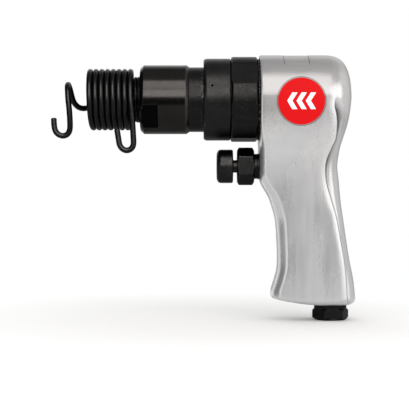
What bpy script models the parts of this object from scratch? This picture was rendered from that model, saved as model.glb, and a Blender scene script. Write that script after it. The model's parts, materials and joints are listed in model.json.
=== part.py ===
"""Pneumatic air hammer: a pistol-grip housing, a steel barrel with its piston and valve, a push-button
throttle, a turning exhaust collar and a coil retainer. Metres, +Z up, muzzle towards -X."""

import math

import bmesh
import bpy
from mathutils import Matrix, Vector

# The barrel's axis runs along X. Every X below counts rearwards from the housing's front face, and
# every Z from the barrel's axis. The empty that carries all parts puts that point here in the world.
FACE_X = 0.0362
AXIS_Z = 0.1427

GAP = 0.0003
ROUND_STEPS = 36
SMALL_STEPS = 24

# Barrel
BORE_RADIUS = 0.0095
BORE_FRONT = -0.066
SHANK_HOLE_RADIUS = 0.0051
NOSE_FRONT = -0.103
NOSE_RADIUS = 0.0149
MUZZLE_FRONT = -0.0768
MUZZLE_REAR = -0.0456
MUZZLE_RADIUS = 0.0223
WAIST_RADIUS = 0.0209
COLLAR_FRONT = -0.0361
COLLAR_REAR = -0.0186
COLLAR_RADIUS = 0.0265
COLLAR_BORE_RADIUS = 0.0227
LAND_RADIUS = COLLAR_BORE_RADIUS - GAP
LAND_FRONT = -0.0245
SNAP_GROOVE = (-0.0360, -0.0344)
SNAP_GROOVE_RADIUS = 0.0198
SNAP_RING_RADII = (SNAP_GROOVE_RADIUS + GAP, 0.0239)
COUNTERBORE_RADIUS = 0.0244
COUNTERBORE_REAR = -0.0342
LOCK_RING_RADII = (0.0171, 0.0262)
NUT_FRONT = COLLAR_REAR + GAP
NUT_REAR = -0.0015
NUT_RADIUS = 0.0278
NUT_ACROSS_FLATS = 0.05285
NUT_CORNER_TILT = math.radians(-4.7)
WRENCH_FLAT_END = -0.0650
WRENCH_FLAT_DEPTH = 0.00175
WRENCH_FLAT_TILT = math.radians(36.4)
BARREL_SHANK_RADIUS = 0.0167
BARREL_REAR = 0.0140
AIR_PORT_ORBIT = 0.0126
AIR_PORT_RADIUS = 0.0013
EXHAUST_X = -0.0290
VENT_X = -0.0306
VENT_TILT = math.radians(14.6)

# Piston and cycling valve
PISTON_RADIUS = BORE_RADIUS - GAP
PISTON_REAR = 0.0135
PISTON_LENGTH = 0.038
VALVE_RADIUS = 0.0166
VALVE_BODY = (0.0144, 0.0224)
VALVE_CAP = (0.0227, 0.0297)
VALVE_POCKET_RADIUS = 0.0090
VALVE_POCKET_FLOOR = 0.0184
VALVE_DISC = (0.0188, 0.0203)
PIN_ORBIT = 0.0123
PIN_RADIUS = 0.0012

# Housing
HEAD_RADIUS = 0.0286
HEAD_BORE_RADIUS = BARREL_SHANK_RADIUS + GAP
DOME_START = 0.041
DOME_POWER = 2.9
FOOT_Z = -0.1326
FOOT_RISE = 0.0040
FOOT_SLOPE_X = (0.009, 0.044)
FRONT_LINE = (
    (0.0, 0.0), (-0.0460, 0.0), (-0.0505, 0.0001), (-0.0550, 0.0016), (-0.0628, 0.0061),
    (-0.0706, 0.0088), (-0.0784, 0.0107), (-0.0900, 0.0116), (-0.1018, 0.0120),
    (-0.1096, 0.0117), (-0.1174, 0.0098), (-0.1250, 0.0080), (FOOT_Z, 0.0075),
)
BACK_LINE = (
    (0.0, 0.0592), (-0.0080, 0.0584), (-0.0160, 0.0569), (-0.0240, 0.0544), (-0.0317, 0.0520),
    (-0.0434, 0.0504), (-0.0510, 0.0512), (-0.0667, 0.0527), (-0.0820, 0.0549),
    (-0.1020, 0.0579), (-0.1170, 0.0608), (-0.1290, 0.0621), (FOOT_Z, 0.0621),
)
CREASE_LINE = (
    (0.0, 0.0468), (-0.0060, 0.0460), (-0.0120, 0.0472), (-0.0180, 0.0477), (-0.0270, 0.0470),
    (-0.0320, 0.0447), (-0.0393, 0.0418), (-0.0452, 0.0409), (-0.0540, 0.0417),
    (-0.0655, 0.0449), (-0.0762, 0.0481), (-0.0934, 0.0513), (-0.1100, 0.0539), (FOOT_Z, 0.0553),
)
SIDE_LINE = (
    (0.0, HEAD_RADIUS), (-0.0080, 0.0279), (-0.0160, 0.0264), (-0.0240, 0.0246), (-0.0320, 0.0227),
    (-0.0400, 0.0209), (-0.0500, 0.0192), (-0.0600, 0.0180), (-0.0720, 0.0172),
    (-0.0900, 0.0170), (-0.1100, 0.0172), (FOOT_Z, 0.0176),
)
STEP_LINE = (
    (0.0, 0.0), (-0.0030, 0.0006), (-0.0060, 0.0024), (-0.0090, 0.0037), (-0.0130, 0.0041),
    (-0.0180, 0.0035), (-0.0240, 0.0025), (-0.0320, 0.0024), (-0.0400, 0.0028), (-0.0480, 0.0022),
    (-0.0650, 0.0013), (-0.0900, 0.0011), (FOOT_Z, 0.0009),
)
CREASE_WIDTH_LINE = (
    (0.0, 0.0012), (-0.0050, 0.0016), (-0.0100, 0.0026), (-0.0150, 0.0030), (-0.0200, 0.0024),
    (-0.0260, 0.0016), (-0.0340, 0.0020), (-0.0420, 0.0024), (-0.0500, 0.0018),
    (-0.0650, 0.0012), (FOOT_Z, 0.0012),
)
FRONT_ROUND_LINE = (
    (0.0, 0.0012), (-0.0200, 0.0015), (-0.0300, 0.0035), (-0.0460, 0.0040), (-0.0600, 0.0055),
    (-0.0720, 0.0068), (FOOT_Z, 0.0068),
)
FRONT_WIDE_LINE = (
    (0.0, 0.0012), (-0.0200, 0.0020), (-0.0300, 0.0080), (-0.0460, 0.0090), (-0.0600, 0.0100),
    (-0.0720, 0.0105), (FOOT_Z, 0.0105),
)
BADGE_X = 0.0253
BADGE_Z = -0.0032
BADGE_RADIUS = 0.0152
BADGE_PROUD = 0.00015
BADGE_THICKNESS = 0.00065
RECESS_X = (0.0149, 0.0316)
RECESS_DEPTH = 0.0004
RECESS_HALF_ANGLE = math.radians(45)

# Throttle
TRIGGER_Z = -0.0433
BUTTON_RADIUS = 0.0109
BUTTON_FRONT = -0.0276
BUTTON_REAR = -0.0170
STEM_RADIUS = 0.0041
HEX_FRONT = -0.0143
HEX_REAR = -0.0033
THROTTLE_ACROSS_FLATS = 0.0213
BUSHING_RADIUS = 0.0083
BUSHING_REAR = 0.0120
SEAT_BORE_RADIUS = 0.0057
CHAMBER_RADIUS = 0.0072
CHAMBER_REAR = 0.0333
POPPET_FRONT = BUSHING_REAR + GAP
CROSS_PORT_X = 0.006

# Inlet
INLET_X = 0.0463
INLET_FOOT = -AXIS_Z
INLET_TOP = -0.1186
INLET_HEX_TOP = -0.1353
INLET_NECK_TOP = FOOT_Z - GAP
INLET_NECK_RADIUS = 0.0105
INLET_SHANK_RADIUS = 0.0096
INLET_ACROSS_FLATS = 0.0208
INLET_HEX_TURN = math.radians(5.8)
INLET_BORE_RADIUS = 0.0056

# Retainer
COIL_RADIUS = 0.0181
COIL_PITCH = 0.00373
COIL_TURNS = 7.25
COIL_FIRST_TOP = -0.1095
WIRE_RADIUS = 0.00184
COIL_POINTS_PER_TURN = 14
WIRE_POINT_SPACING = 0.0030

# The front wire, from the first coil to the tip of its hook, and the pull loop, from the last coil.
HOOK_ROUTE = (
    (-0.1131, 0.0166, -0.0038), (-0.1160, 0.0149, -0.0044), (-0.1187, 0.0132, -0.0037),
    (-0.1207, 0.0117, -0.0019), (-0.1220, 0.0104, 0.0005), (-0.1229, 0.0088, 0.0040),
    (-0.1236, 0.0060, 0.0077), (-0.1241, 0.0010, 0.0099), (-0.1238, -0.0052, 0.0080),
    (-0.1233, -0.0085, 0.0043), (-0.1229, -0.0095, -0.0006), (-0.1223, -0.0096, -0.0065),
    (-0.1219, -0.0091, -0.0125), (-0.1219, -0.0078, -0.0178), (-0.1224, -0.0067, -0.0206),
    (-0.1234, -0.0063, -0.0224), (-0.1248, -0.0061, -0.0234), (-0.1268, -0.0060, -0.0238),
    (-0.1290, -0.0060, -0.0232), (-0.1308, -0.0060, -0.0218), (-0.1319, -0.0060, -0.0196),
    (-0.1324, -0.0060, -0.0164), (-0.1326, -0.0060, -0.0123),
)
LOOP_ROUTE = (
    (-0.0816, -0.0178, -0.0096), (-0.0811, -0.0173, -0.0172), (-0.0807, -0.0170, -0.0240),
    (-0.0805, -0.0168, -0.0288), (-0.0810, -0.0167, -0.0312), (-0.0824, -0.0166, -0.0329),
    (-0.0846, -0.0165, -0.0337), (-0.0867, -0.0165, -0.0332), (-0.0884, -0.0164, -0.0318),
    (-0.0895, -0.0164, -0.0297), (-0.0901, -0.0164, -0.0262), (-0.0907, -0.0164, -0.0226),
    (-0.0911, -0.0164, -0.0200),
)

# Seal rings: (along the axis, radius to the wire's middle, wire radius)
VALVE_ORING = (0.0262, 0.01575, 0.00085)
COLLAR_ORING = (-0.0214, 0.0217, 0.00070)
BUSHING_ORING = (0.0020, 0.0076, 0.00065)
STEM_ORING = (-0.0078, 0.0050, 0.00060)
INLET_ORING = (-0.1276, 0.00885, 0.00065)


def clear_scene():
    for obj in list(bpy.data.objects):
        bpy.data.objects.remove(obj, do_unlink=True)


def new_collection(name):
    collection = bpy.data.collections.new(name)
    bpy.context.scene.collection.children.link(collection)
    return collection


clear_scene()
PARTS = new_collection("air_hammer")
CUTTERS = new_collection("cutters")
BARREL_AXIS = bpy.data.objects.new("barrel_axis", None)
BARREL_AXIS.location = (FACE_X, 0.0, AXIS_Z)
PARTS.objects.link(BARREL_AXIS)


def finish(name, color, roughness, metallic):
    """A Principled material in one colour."""
    material = bpy.data.materials.new(name)
    material.use_nodes = True
    shader = material.node_tree.nodes["Principled BSDF"]
    shader.inputs["Base Color"].default_value = (*color, 1.0)
    shader.inputs["Roughness"].default_value = roughness
    shader.inputs["Metallic"].default_value = metallic
    return material


def add_part(name, data, material, location=(0.0, 0.0, 0.0)):
    obj = bpy.data.objects.new(name, data)
    obj.parent = BARREL_AXIS
    obj.location = location
    data.materials.append(material)
    PARTS.objects.link(obj)
    return obj


def add_cutter(name, data, location=(0.0, 0.0, 0.0)):
    obj = bpy.data.objects.new(name, data)
    obj.parent = BARREL_AXIS
    obj.location = location
    obj.hide_render = True
    obj.display_type = "WIRE"
    CUTTERS.objects.link(obj)
    return obj


def cut(part, *cutters):
    for cutter in cutters:
        modifier = part.modifiers.new("cut_" + cutter.name, "BOOLEAN")
        modifier.operation = "DIFFERENCE"
        modifier.solver = "EXACT"
        modifier.object = cutter


def mesh_from(bm, name):
    mesh = bpy.data.meshes.new(name)
    bm.to_mesh(mesh)
    bm.free()
    return mesh


def profile_mesh(name, profile, axis):
    """The line that a Screw modifier turns: (along the axis, radius) pairs, as a closed loop unless
    both its ends lie on the axis."""
    place = {
        "X": lambda along, radius: (along, radius, 0.0),
        "Y": lambda along, radius: (0.0, along, radius),
        "Z": lambda along, radius: (radius, 0.0, along),
    }[axis]
    points = [place(along, radius) for along, radius in profile]
    edges = [(i, i + 1) for i in range(len(points) - 1)]
    if profile[0][1] > 0.0:
        edges.append((len(points) - 1, 0))
    mesh = bpy.data.meshes.new(name)
    mesh.from_pydata(points, edges, [])
    return mesh


def turn(obj, axis, steps, phase=0.0):
    """Turns the object's profile round its axis. The outer side runs from the far end to the near one."""
    obj.rotation_euler = [phase if letter == axis else 0.0 for letter in "XYZ"]
    screw = obj.modifiers.new("turn", "SCREW")
    screw.axis = axis
    screw.angle = math.tau
    screw.steps = steps
    screw.render_steps = steps
    screw.use_merge_vertices = True
    screw.merge_threshold = 0.00001
    return obj


def turned(name, profile, material, axis="X", steps=ROUND_STEPS, location=(0.0, 0.0, 0.0)):
    return turn(add_part(name, profile_mesh(name, profile, axis), material, location), axis, steps)


def turned_cutter(name, profile, axis="X", steps=ROUND_STEPS, location=(0.0, 0.0, 0.0), phase=0.0):
    return turn(add_cutter(name, profile_mesh(name, profile, axis), location), axis, steps, phase)


def hex_cutter(name, across_flats, near, far, axis="X", location=(0.0, 0.0, 0.0), phase=0.0):
    """A six-sided tube: what is left inside it has six flats."""
    corner = across_flats / 2 / math.cos(math.radians(30))
    outside = corner * 1.5
    profile = [(far, corner), (far, outside), (near, outside), (near, corner)]
    return turned_cutter(name, profile, axis, 6, location, phase)


def drill_mesh(name, holes, segments=16):
    """Round rods that don't touch each other, in one mesh: (start, end, radius) each."""
    bm = bmesh.new()
    for start, end, radius in holes:
        start, end = Vector(start), Vector(end)
        turn_to = (end - start).to_track_quat("Z", "Y").to_matrix().to_4x4()
        bmesh.ops.create_cone(
            bm,
            cap_ends=True,
            segments=segments,
            radius1=radius,
            radius2=radius,
            depth=(end - start).length,
            matrix=Matrix.Translation((start + end) / 2) @ turn_to,
        )
    return mesh_from(bm, name)


def drills(name, holes, location=(0.0, 0.0, 0.0), segments=16):
    return add_cutter(name, drill_mesh(name, holes, segments), location)


def block_mesh(name, blocks):
    """Boxes that don't touch each other: (centre, size, turn about X) each."""
    bm = bmesh.new()
    for centre, size, angle in blocks:
        place = Matrix.Rotation(angle, 4, "X") @ Matrix.Translation(centre) @ Matrix.Diagonal((*size, 1.0))
        bmesh.ops.create_cube(bm, size=1.0, matrix=place)
    return mesh_from(bm, name)


def around(orbit, angle, x):
    """A point at this distance from the barrel's axis. The angle counts from +Y towards +Z."""
    return (x, orbit * math.cos(angle), orbit * math.sin(angle))


def ring_of_wire(name, oring, material, axis="X", location=(0.0, 0.0, 0.0)):
    along, radius, wire = oring
    sides = 6
    profile = []
    for i in range(sides):
        angle = -math.tau * (i + 0.5) / sides
        profile.append((along + wire * math.sin(angle), radius - wire * math.cos(angle)))
    return turned(name, profile[::-1], material, axis, SMALL_STEPS, location)


def smooth_route(points, spacing):
    """Points read from a smooth curve through the given ones."""
    points = [Vector(p) for p in points]
    ends = [points[0] * 2 - points[1]] + points + [points[-1] * 2 - points[-2]]
    route = []
    for a, b, c, d in zip(ends, ends[1:], ends[2:], ends[3:]):
        count = max(1, round((c - b).length / spacing))
        for i in range(count):
            t = i / count
            bend = 2 * a - 5 * b + 4 * c - d
            twist = 3 * b - a - 3 * c + d
            route.append(0.5 * (2 * b + (c - a) * t + bend * t**2 + twist * t**3))
    return route + [points[-1]]


def wire_part(name, route, radius, material, location=(0.0, 0.0, 0.0), roundness=2):
    curve = bpy.data.curves.new(name, "CURVE")
    curve.dimensions = "3D"
    curve.bevel_depth = radius
    curve.bevel_resolution = roundness
    curve.use_fill_caps = True
    spline = curve.splines.new("POLY")
    spline.points.add(len(route) - 1)
    for point, place in zip(spline.points, route):
        point.co = (*place, 1.0)
    return add_part(name, curve, material, location)


def along_line(line, z):
    """The value at height z of a smooth curve through (z, value) stations listed from the top down."""
    if z >= line[0][0]:
        return line[0][1]
    if z <= line[-1][0]:
        return line[-1][1]
    i = next(k for k in range(len(line) - 1) if z >= line[k + 1][0])
    (z0, v0), (z1, v1) = line[i], line[i + 1]
    before, after = line[max(i - 1, 0)], line[min(i + 2, len(line) - 1)]
    span = z1 - z0
    leave = (v1 - before[1]) / (z1 - before[0]) * span
    arrive = (after[1] - v0) / (after[0] - z0) * span
    t = (z - z0) / span
    start = v0 * (2 * t**3 - 3 * t**2 + 1) + leave * (t**3 - 2 * t**2 + t)
    return start + v1 * (3 * t**2 - 2 * t**3) + arrive * (t**3 - t**2)


def housing_section(z):
    """(x, half-width) from the front middle to the back middle of the grip, at a height at or below
    the barrel's axis. At the axis it is also the head's own turned outline."""
    front, back = along_line(FRONT_LINE, z), along_line(BACK_LINE, z)
    crease, side = along_line(CREASE_LINE, z), along_line(SIDE_LINE, z)
    deep, wide = along_line(FRONT_ROUND_LINE, z), along_line(FRONT_WIDE_LINE, z)
    step = along_line(STEP_LINE, z)
    start = crease - (along_line(CREASE_LINE, 0.0) - DOME_START)
    dome_length = along_line(BACK_LINE, 0.0) - DOME_START
    drop = HEAD_RADIUS * (1 - (1 - ((crease - start) / dome_length) ** DOME_POWER) ** (1 / DOME_POWER))
    points = [(front, (side - wide) * part) for part in (0.0, 0.4, 0.75)]
    for i in range(4):
        angle = math.radians(90) * i / 3
        points.append((front + deep * (1 - math.cos(angle)), side - wide + wide * math.sin(angle)))
    points += [(front + deep + (start - front - deep) * part, side) for part in (0.33, 0.67, 1.0)]
    for part in (0.5, 0.8, 1.0):
        fall = drop * part**DOME_POWER
        points.append((start + (crease - start) * part, side - fall))
    strap_start = crease + along_line(CREASE_WIDTH_LINE, z)
    first = math.asin(min(1.0, ((strap_start - start) / (back - start)) ** (DOME_POWER / 2)))
    strap_steps = 5
    for i in range(strap_steps + 1):
        angle = first + (math.radians(90) - first) * i / strap_steps
        x = start + (back - start) * math.sin(angle) ** (2 / DOME_POWER)
        y = (side - step) * max(0.0, math.cos(angle)) ** (2 / DOME_POWER)
        points.append((x, y if i < strap_steps else 0.0))
    return points


def foot_height(x):
    """The grip's lower face, which rises towards the front."""
    reach = min(1.0, max(0.0, (x - FOOT_SLOPE_X[0]) / (FOOT_SLOPE_X[1] - FOOT_SLOPE_X[0])))
    return FOOT_Z + FOOT_RISE * (1 - reach) ** 2


def housing_rows():
    """The half on the -Y side, as rows of points from the top down."""
    turned_outline = housing_section(0.0)
    head_steps = 6
    rows = []
    for i in range(head_steps):
        angle = math.radians(90) * (1 - i / head_steps)
        rows.append([(x, -r * math.cos(angle), r * math.sin(angle)) for x, r in turned_outline])
        rows[-1] = [(x, 0.0 if i == 0 else y, z) for x, y, z in rows[-1]]
    levels = [-0.0054 * i for i in range(11)] + [-0.054 - 0.0105 * i for i in range(1, 7)]
    for z in levels:
        rows.append([(x, -y, z) for x, y in housing_section(z)])
    top = levels[-1]
    for part in (0.35, 0.62):
        z = top + (FOOT_Z - top) * part
        row = housing_section(z)
        rows.append([(x, -y, top + (foot_height(x) - top) * part) for x, y in row])
    outline = housing_section(FOOT_Z)
    first, last = outline[0][0], outline[-1][0]
    middle, half_length = (first + last) / 2, (last - first) / 2
    widest = max(y for _, y in outline)

    def rounded(x, y, angle):
        """A point of the foot's rounded rim, from its side at angle 0 to its lower face at a right angle."""
        radius = 0.0018 + 0.0027 * (x - first) / (last - first)
        inset = radius * (1 - math.cos(angle))
        rise = radius * (1 - math.sin(angle))
        new_x = middle + (x - middle) * (1 - inset / half_length)
        return new_x, -y * (1 - inset / widest), foot_height(x) + rise

    for angle in (math.radians(a) for a in (0, 30, 60, 90)):
        rows.append([rounded(x, y, angle) for x, y in outline])
    count = len(outline) - 1
    spread = [first + (last - first) * j / count for j in range(count + 1)]
    rows.append([rounded(x, 0.0, math.radians(90)) for x in spread])
    return rows


def side_half_width(z):
    """Half-width of the head and grip in the middle of their sides, at this height."""
    if z > 0.0:
        return math.sqrt(HEAD_RADIUS**2 - z**2)
    return along_line(SIDE_LINE, z)


def badge_puck(name, radius, proud, depth):
    """A disc laid on the housing's left side, following it: proud of the surface, and as deep as said."""
    face = [(proud, radius * part) for part in (0.0, 0.35, 0.7, 1.0)]
    back = [(proud - depth, r) for _, r in reversed(face)]
    flat = add_cutter(name + "_flat", profile_mesh(name, face + back, "Y"))
    flat.data.transform(Matrix.Diagonal((1.0, -1.0, 1.0, 1.0)))
    turn(flat, "Y", ROUND_STEPS)
    bpy.context.view_layer.update()
    graph = bpy.context.evaluated_depsgraph_get()
    mesh = bpy.data.meshes.new_from_object(flat.evaluated_get(graph))
    bpy.data.objects.remove(flat, do_unlink=True)
    for vertex in mesh.vertices:
        vertex.co.x += BADGE_X
        vertex.co.z += BADGE_Z
        vertex.co.y -= side_half_width(vertex.co.z)
    bm = bmesh.new()
    bm.from_mesh(mesh)
    bmesh.ops.remove_doubles(bm, verts=bm.verts, dist=0.000001)
    bmesh.ops.recalc_face_normals(bm, faces=bm.faces)
    bm.to_mesh(mesh)
    bm.free()
    return mesh


def recess_cutter():
    """The sector above the shallow cast rectangle on top of the head."""
    inner, outer = HEAD_RADIUS - RECESS_DEPTH, HEAD_RADIUS + 0.002
    arc_steps = 12
    angles = [RECESS_HALF_ANGLE * (2 * i / arc_steps - 1) for i in range(arc_steps + 1)]
    outline = [(inner * math.sin(a), inner * math.cos(a)) for a in angles]
    outline += [(outer * math.sin(a), outer * math.cos(a)) for a in reversed(angles)]
    bm = bmesh.new()
    face = bm.faces.new([bm.verts.new((RECESS_X[0], y, z)) for y, z in outline])
    grown = bmesh.ops.extrude_face_region(bm, geom=[face])
    moved = [item for item in grown["geom"] if isinstance(item, bmesh.types.BMVert)]
    bmesh.ops.translate(bm, verts=moved, vec=(RECESS_X[1] - RECESS_X[0], 0.0, 0.0))
    bmesh.ops.recalc_face_normals(bm, faces=bm.faces)
    return add_cutter("top_recess", mesh_from(bm, "top_recess"))


def build_housing(aluminium):
    rows = housing_rows()
    bm = bmesh.new()
    grid = [[bm.verts.new(point) for point in row] for row in rows]
    for upper, lower in zip(grid, grid[1:]):
        for j in range(len(upper) - 1):
            bm.faces.new((upper[j], lower[j], lower[j + 1], upper[j + 1]))
    bmesh.ops.remove_doubles(bm, verts=bm.verts, dist=0.000002)
    mesh = mesh_from(bm, "housing")
    mesh.shade_smooth()
    housing = add_part("housing", mesh, aluminium)
    mirror = housing.modifiers.new("both_sides", "MIRROR")
    mirror.use_axis = (False, True, False)
    mirror.merge_threshold = 0.00001
    chamber_radius = HEAD_BORE_RADIUS - 0.0015
    barrel_bore = turned_cutter("barrel_bore", [
        (0.037, 0.0), (0.037, chamber_radius), (VALVE_CAP[1] + GAP, chamber_radius),
        (VALVE_CAP[1] + GAP, HEAD_BORE_RADIUS), (-0.005, HEAD_BORE_RADIUS), (-0.005, 0.0),
    ])
    bushing_bore = BUSHING_RADIUS + GAP
    gallery = bushing_bore + 0.0015
    throttle_bore = turned_cutter("throttle_bore", [
        (CHAMBER_REAR, 0.0), (CHAMBER_REAR, CHAMBER_RADIUS), (0.013, CHAMBER_RADIUS),
        (0.013, bushing_bore), (CROSS_PORT_X + 0.0025, bushing_bore), (CROSS_PORT_X + 0.0025, gallery),
        (CROSS_PORT_X - 0.0025, gallery), (CROSS_PORT_X - 0.0025, bushing_bore),
        (-0.005, bushing_bore), (-0.005, 0.0),
    ], steps=SMALL_STEPS, location=(0.0, 0.0, TRIGGER_Z))
    inlet_radius = INLET_SHANK_RADIUS + GAP
    inlet_bore = turned_cutter("inlet_bore", [
        (-0.116, 0.0), (-0.116, inlet_radius), (-0.140, inlet_radius), (-0.140, 0.0),
    ], axis="Z", steps=SMALL_STEPS, location=(INLET_X, 0.0, 0.0))
    handle_passage = drills("handle_passage", [((0.045, 0.0, -0.118), (0.0275, 0.0, -0.041), 0.0048)])
    valve_passage = drills("valve_passage", [((CROSS_PORT_X, 0.0, -0.038), (0.0365, 0.0, -0.0166), 0.0026)])
    pocket_floor = 0.003 + BADGE_THICKNESS + GAP - BADGE_PROUD
    pocket = badge_puck("badge_pocket", BADGE_RADIUS + GAP, 0.003, pocket_floor)
    badge_pocket = add_cutter("badge_pocket", pocket)
    cut(housing, barrel_bore, throttle_bore, inlet_bore, handle_passage, valve_passage, badge_pocket)
    cut(housing, recess_cutter())
    add_part("badge", badge_puck("badge", BADGE_RADIUS, BADGE_PROUD, BADGE_THICKNESS), finish(
        "badge_red", (0.85, 0.01, 0.01), 0.35, 0.0
    ))


def oring_groove(oring, floor, rim):
    """Profile points of a groove for this ring, from its far side to its near side."""
    along, _, wire = oring
    half = wire + GAP + 0.0001
    return [(along + half, rim), (along + half, floor), (along - half, floor), (along - half, rim)]


def build_cylinder(steel):
    collar_groove = oring_groove(COLLAR_ORING, 0.0207, LAND_RADIUS)
    groove_front, groove_rear = SNAP_GROOVE
    cylinder = turned("cylinder", [
        (BARREL_REAR, 0.0159), (BARREL_REAR - 0.0008, BARREL_SHANK_RADIUS),
        (NUT_REAR, BARREL_SHANK_RADIUS), (NUT_REAR, NUT_RADIUS - 0.0008),
        (NUT_REAR - 0.0008, NUT_RADIUS), (NUT_FRONT + 0.0008, NUT_RADIUS),
        (NUT_FRONT, NUT_RADIUS - 0.0008), (NUT_FRONT, LAND_RADIUS), *collar_groove,
        (LAND_FRONT, LAND_RADIUS), (LAND_FRONT, WAIST_RADIUS),
        (groove_rear, WAIST_RADIUS), (groove_rear, SNAP_GROOVE_RADIUS),
        (groove_front, SNAP_GROOVE_RADIUS), (groove_front, WAIST_RADIUS),
        (MUZZLE_REAR, WAIST_RADIUS), (MUZZLE_REAR, MUZZLE_RADIUS - 0.0010),
        (MUZZLE_REAR - 0.0016, MUZZLE_RADIUS),
        (MUZZLE_FRONT + 0.0022, MUZZLE_RADIUS), (MUZZLE_FRONT, MUZZLE_RADIUS - 0.0020),
        (MUZZLE_FRONT, NOSE_RADIUS), (NOSE_FRONT + 0.001, NOSE_RADIUS), (NOSE_FRONT, NOSE_RADIUS - 0.001),
        (NOSE_FRONT, SHANK_HOLE_RADIUS + 0.0008), (NOSE_FRONT + 0.0008, SHANK_HOLE_RADIUS),
        (BORE_FRONT, SHANK_HOLE_RADIUS), (BORE_FRONT, BORE_RADIUS), (BARREL_REAR, BORE_RADIUS),
    ], steel)
    nut_flats = hex_cutter(
        "nut_flats", NUT_ACROSS_FLATS, NUT_FRONT - 0.00015, NUT_REAR + 0.0008, phase=NUT_CORNER_TILT
    )
    flat_height = MUZZLE_RADIUS - WRENCH_FLAT_DEPTH
    flat_length = WRENCH_FLAT_END - MUZZLE_FRONT + 0.004
    flat_middle = WRENCH_FLAT_END - flat_length / 2
    blocks = [
        ((flat_middle, side * (flat_height + 0.005), 0.0), (flat_length, 0.010, 0.030), WRENCH_FLAT_TILT)
        for side in (-1, 1)
    ]
    wrench_flats = add_cutter("wrench_flats", block_mesh("wrench_flats", blocks))
    exhaust = [
        (around(0.008, angle, EXHAUST_X), around(0.022, angle, EXHAUST_X), 0.0015)
        for angle in (math.radians(30 + 60 * i) for i in range(6))
    ]
    long_ports = [
        (around(AIR_PORT_ORBIT, angle, -0.0615), around(AIR_PORT_ORBIT, angle, 0.016), AIR_PORT_RADIUS)
        for angle in (0.0, math.pi)
    ]
    cross_ports = [
        (around(0.008, angle, -0.060), around(AIR_PORT_ORBIT, angle, -0.060), 0.0011)
        for angle in (0.0, math.pi)
    ]
    cut(
        cylinder, nut_flats, wrench_flats, drills("exhaust_ports", exhaust, segments=12),
        drills("long_ports", long_ports, segments=12), drills("cross_ports", cross_ports, segments=12),
    )


def build_collar(steel, spring_steel, rubber):
    collar = turned("exhaust_deflector", [
        (COLLAR_REAR, COLLAR_BORE_RADIUS), (COLLAR_REAR, COLLAR_RADIUS - 0.0006),
        (COLLAR_REAR - 0.0006, COLLAR_RADIUS), (COLLAR_FRONT + 0.0019, COLLAR_RADIUS),
        (COLLAR_FRONT + 0.0006, COLLAR_RADIUS - 0.0005), (COLLAR_FRONT, COLLAR_RADIUS - 0.0012),
        (COLLAR_FRONT, COUNTERBORE_RADIUS), (COUNTERBORE_REAR, COUNTERBORE_RADIUS),
        (COUNTERBORE_REAR, COLLAR_BORE_RADIUS),
    ], steel)
    vent_angle = math.pi - VENT_TILT
    vent = (around(0.020, vent_angle, VENT_X), around(0.030, vent_angle, VENT_X), 0.0009)
    outlets = [
        (around(0.020, angle, EXHAUST_X), around(0.030, angle, EXHAUST_X), 0.0022)
        for angle in (math.radians(a) for a in (-32, -16, 0, 16, 32))
    ]
    cut(collar, drills("collar_holes", [vent, *outlets], segments=12))
    ring_front, ring_rear = SNAP_GROOVE[0] + GAP, SNAP_GROOVE[1] - GAP
    inner, outer = SNAP_RING_RADII
    snap_ring = turned("deflector_snap_ring", [
        (ring_rear, inner), (ring_rear, outer), (ring_front, outer), (ring_front, inner),
    ], spring_steel)
    gap = block_mesh("snap_ring_gap", [((-0.0352, 0.0, -0.0215), (0.003, 0.007, 0.008), 0.0)])
    cut(snap_ring, add_cutter("snap_ring_gap", gap))
    ring_of_wire("deflector_oring", COLLAR_ORING, rubber)
    inner, outer = LOCK_RING_RADII
    turned("lock_ring", [
        (-GAP, inner), (-GAP, outer), (NUT_REAR + GAP, outer), (NUT_REAR + GAP, inner),
    ], spring_steel)


def build_piston(steel):
    front = PISTON_REAR - PISTON_LENGTH
    turned("piston", [
        (PISTON_REAR, 0.0), (PISTON_REAR, PISTON_RADIUS - 0.0012), (PISTON_REAR - 0.0012, PISTON_RADIUS),
        (front + 0.0160, PISTON_RADIUS), (front + 0.0155, PISTON_RADIUS - 0.0006),
        (front + 0.0135, PISTON_RADIUS - 0.0006), (front + 0.0130, PISTON_RADIUS),
        (front + 0.0020, PISTON_RADIUS), (front, PISTON_RADIUS - 0.0020), (front, 0.0),
    ], steel, steps=SMALL_STEPS)


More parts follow.
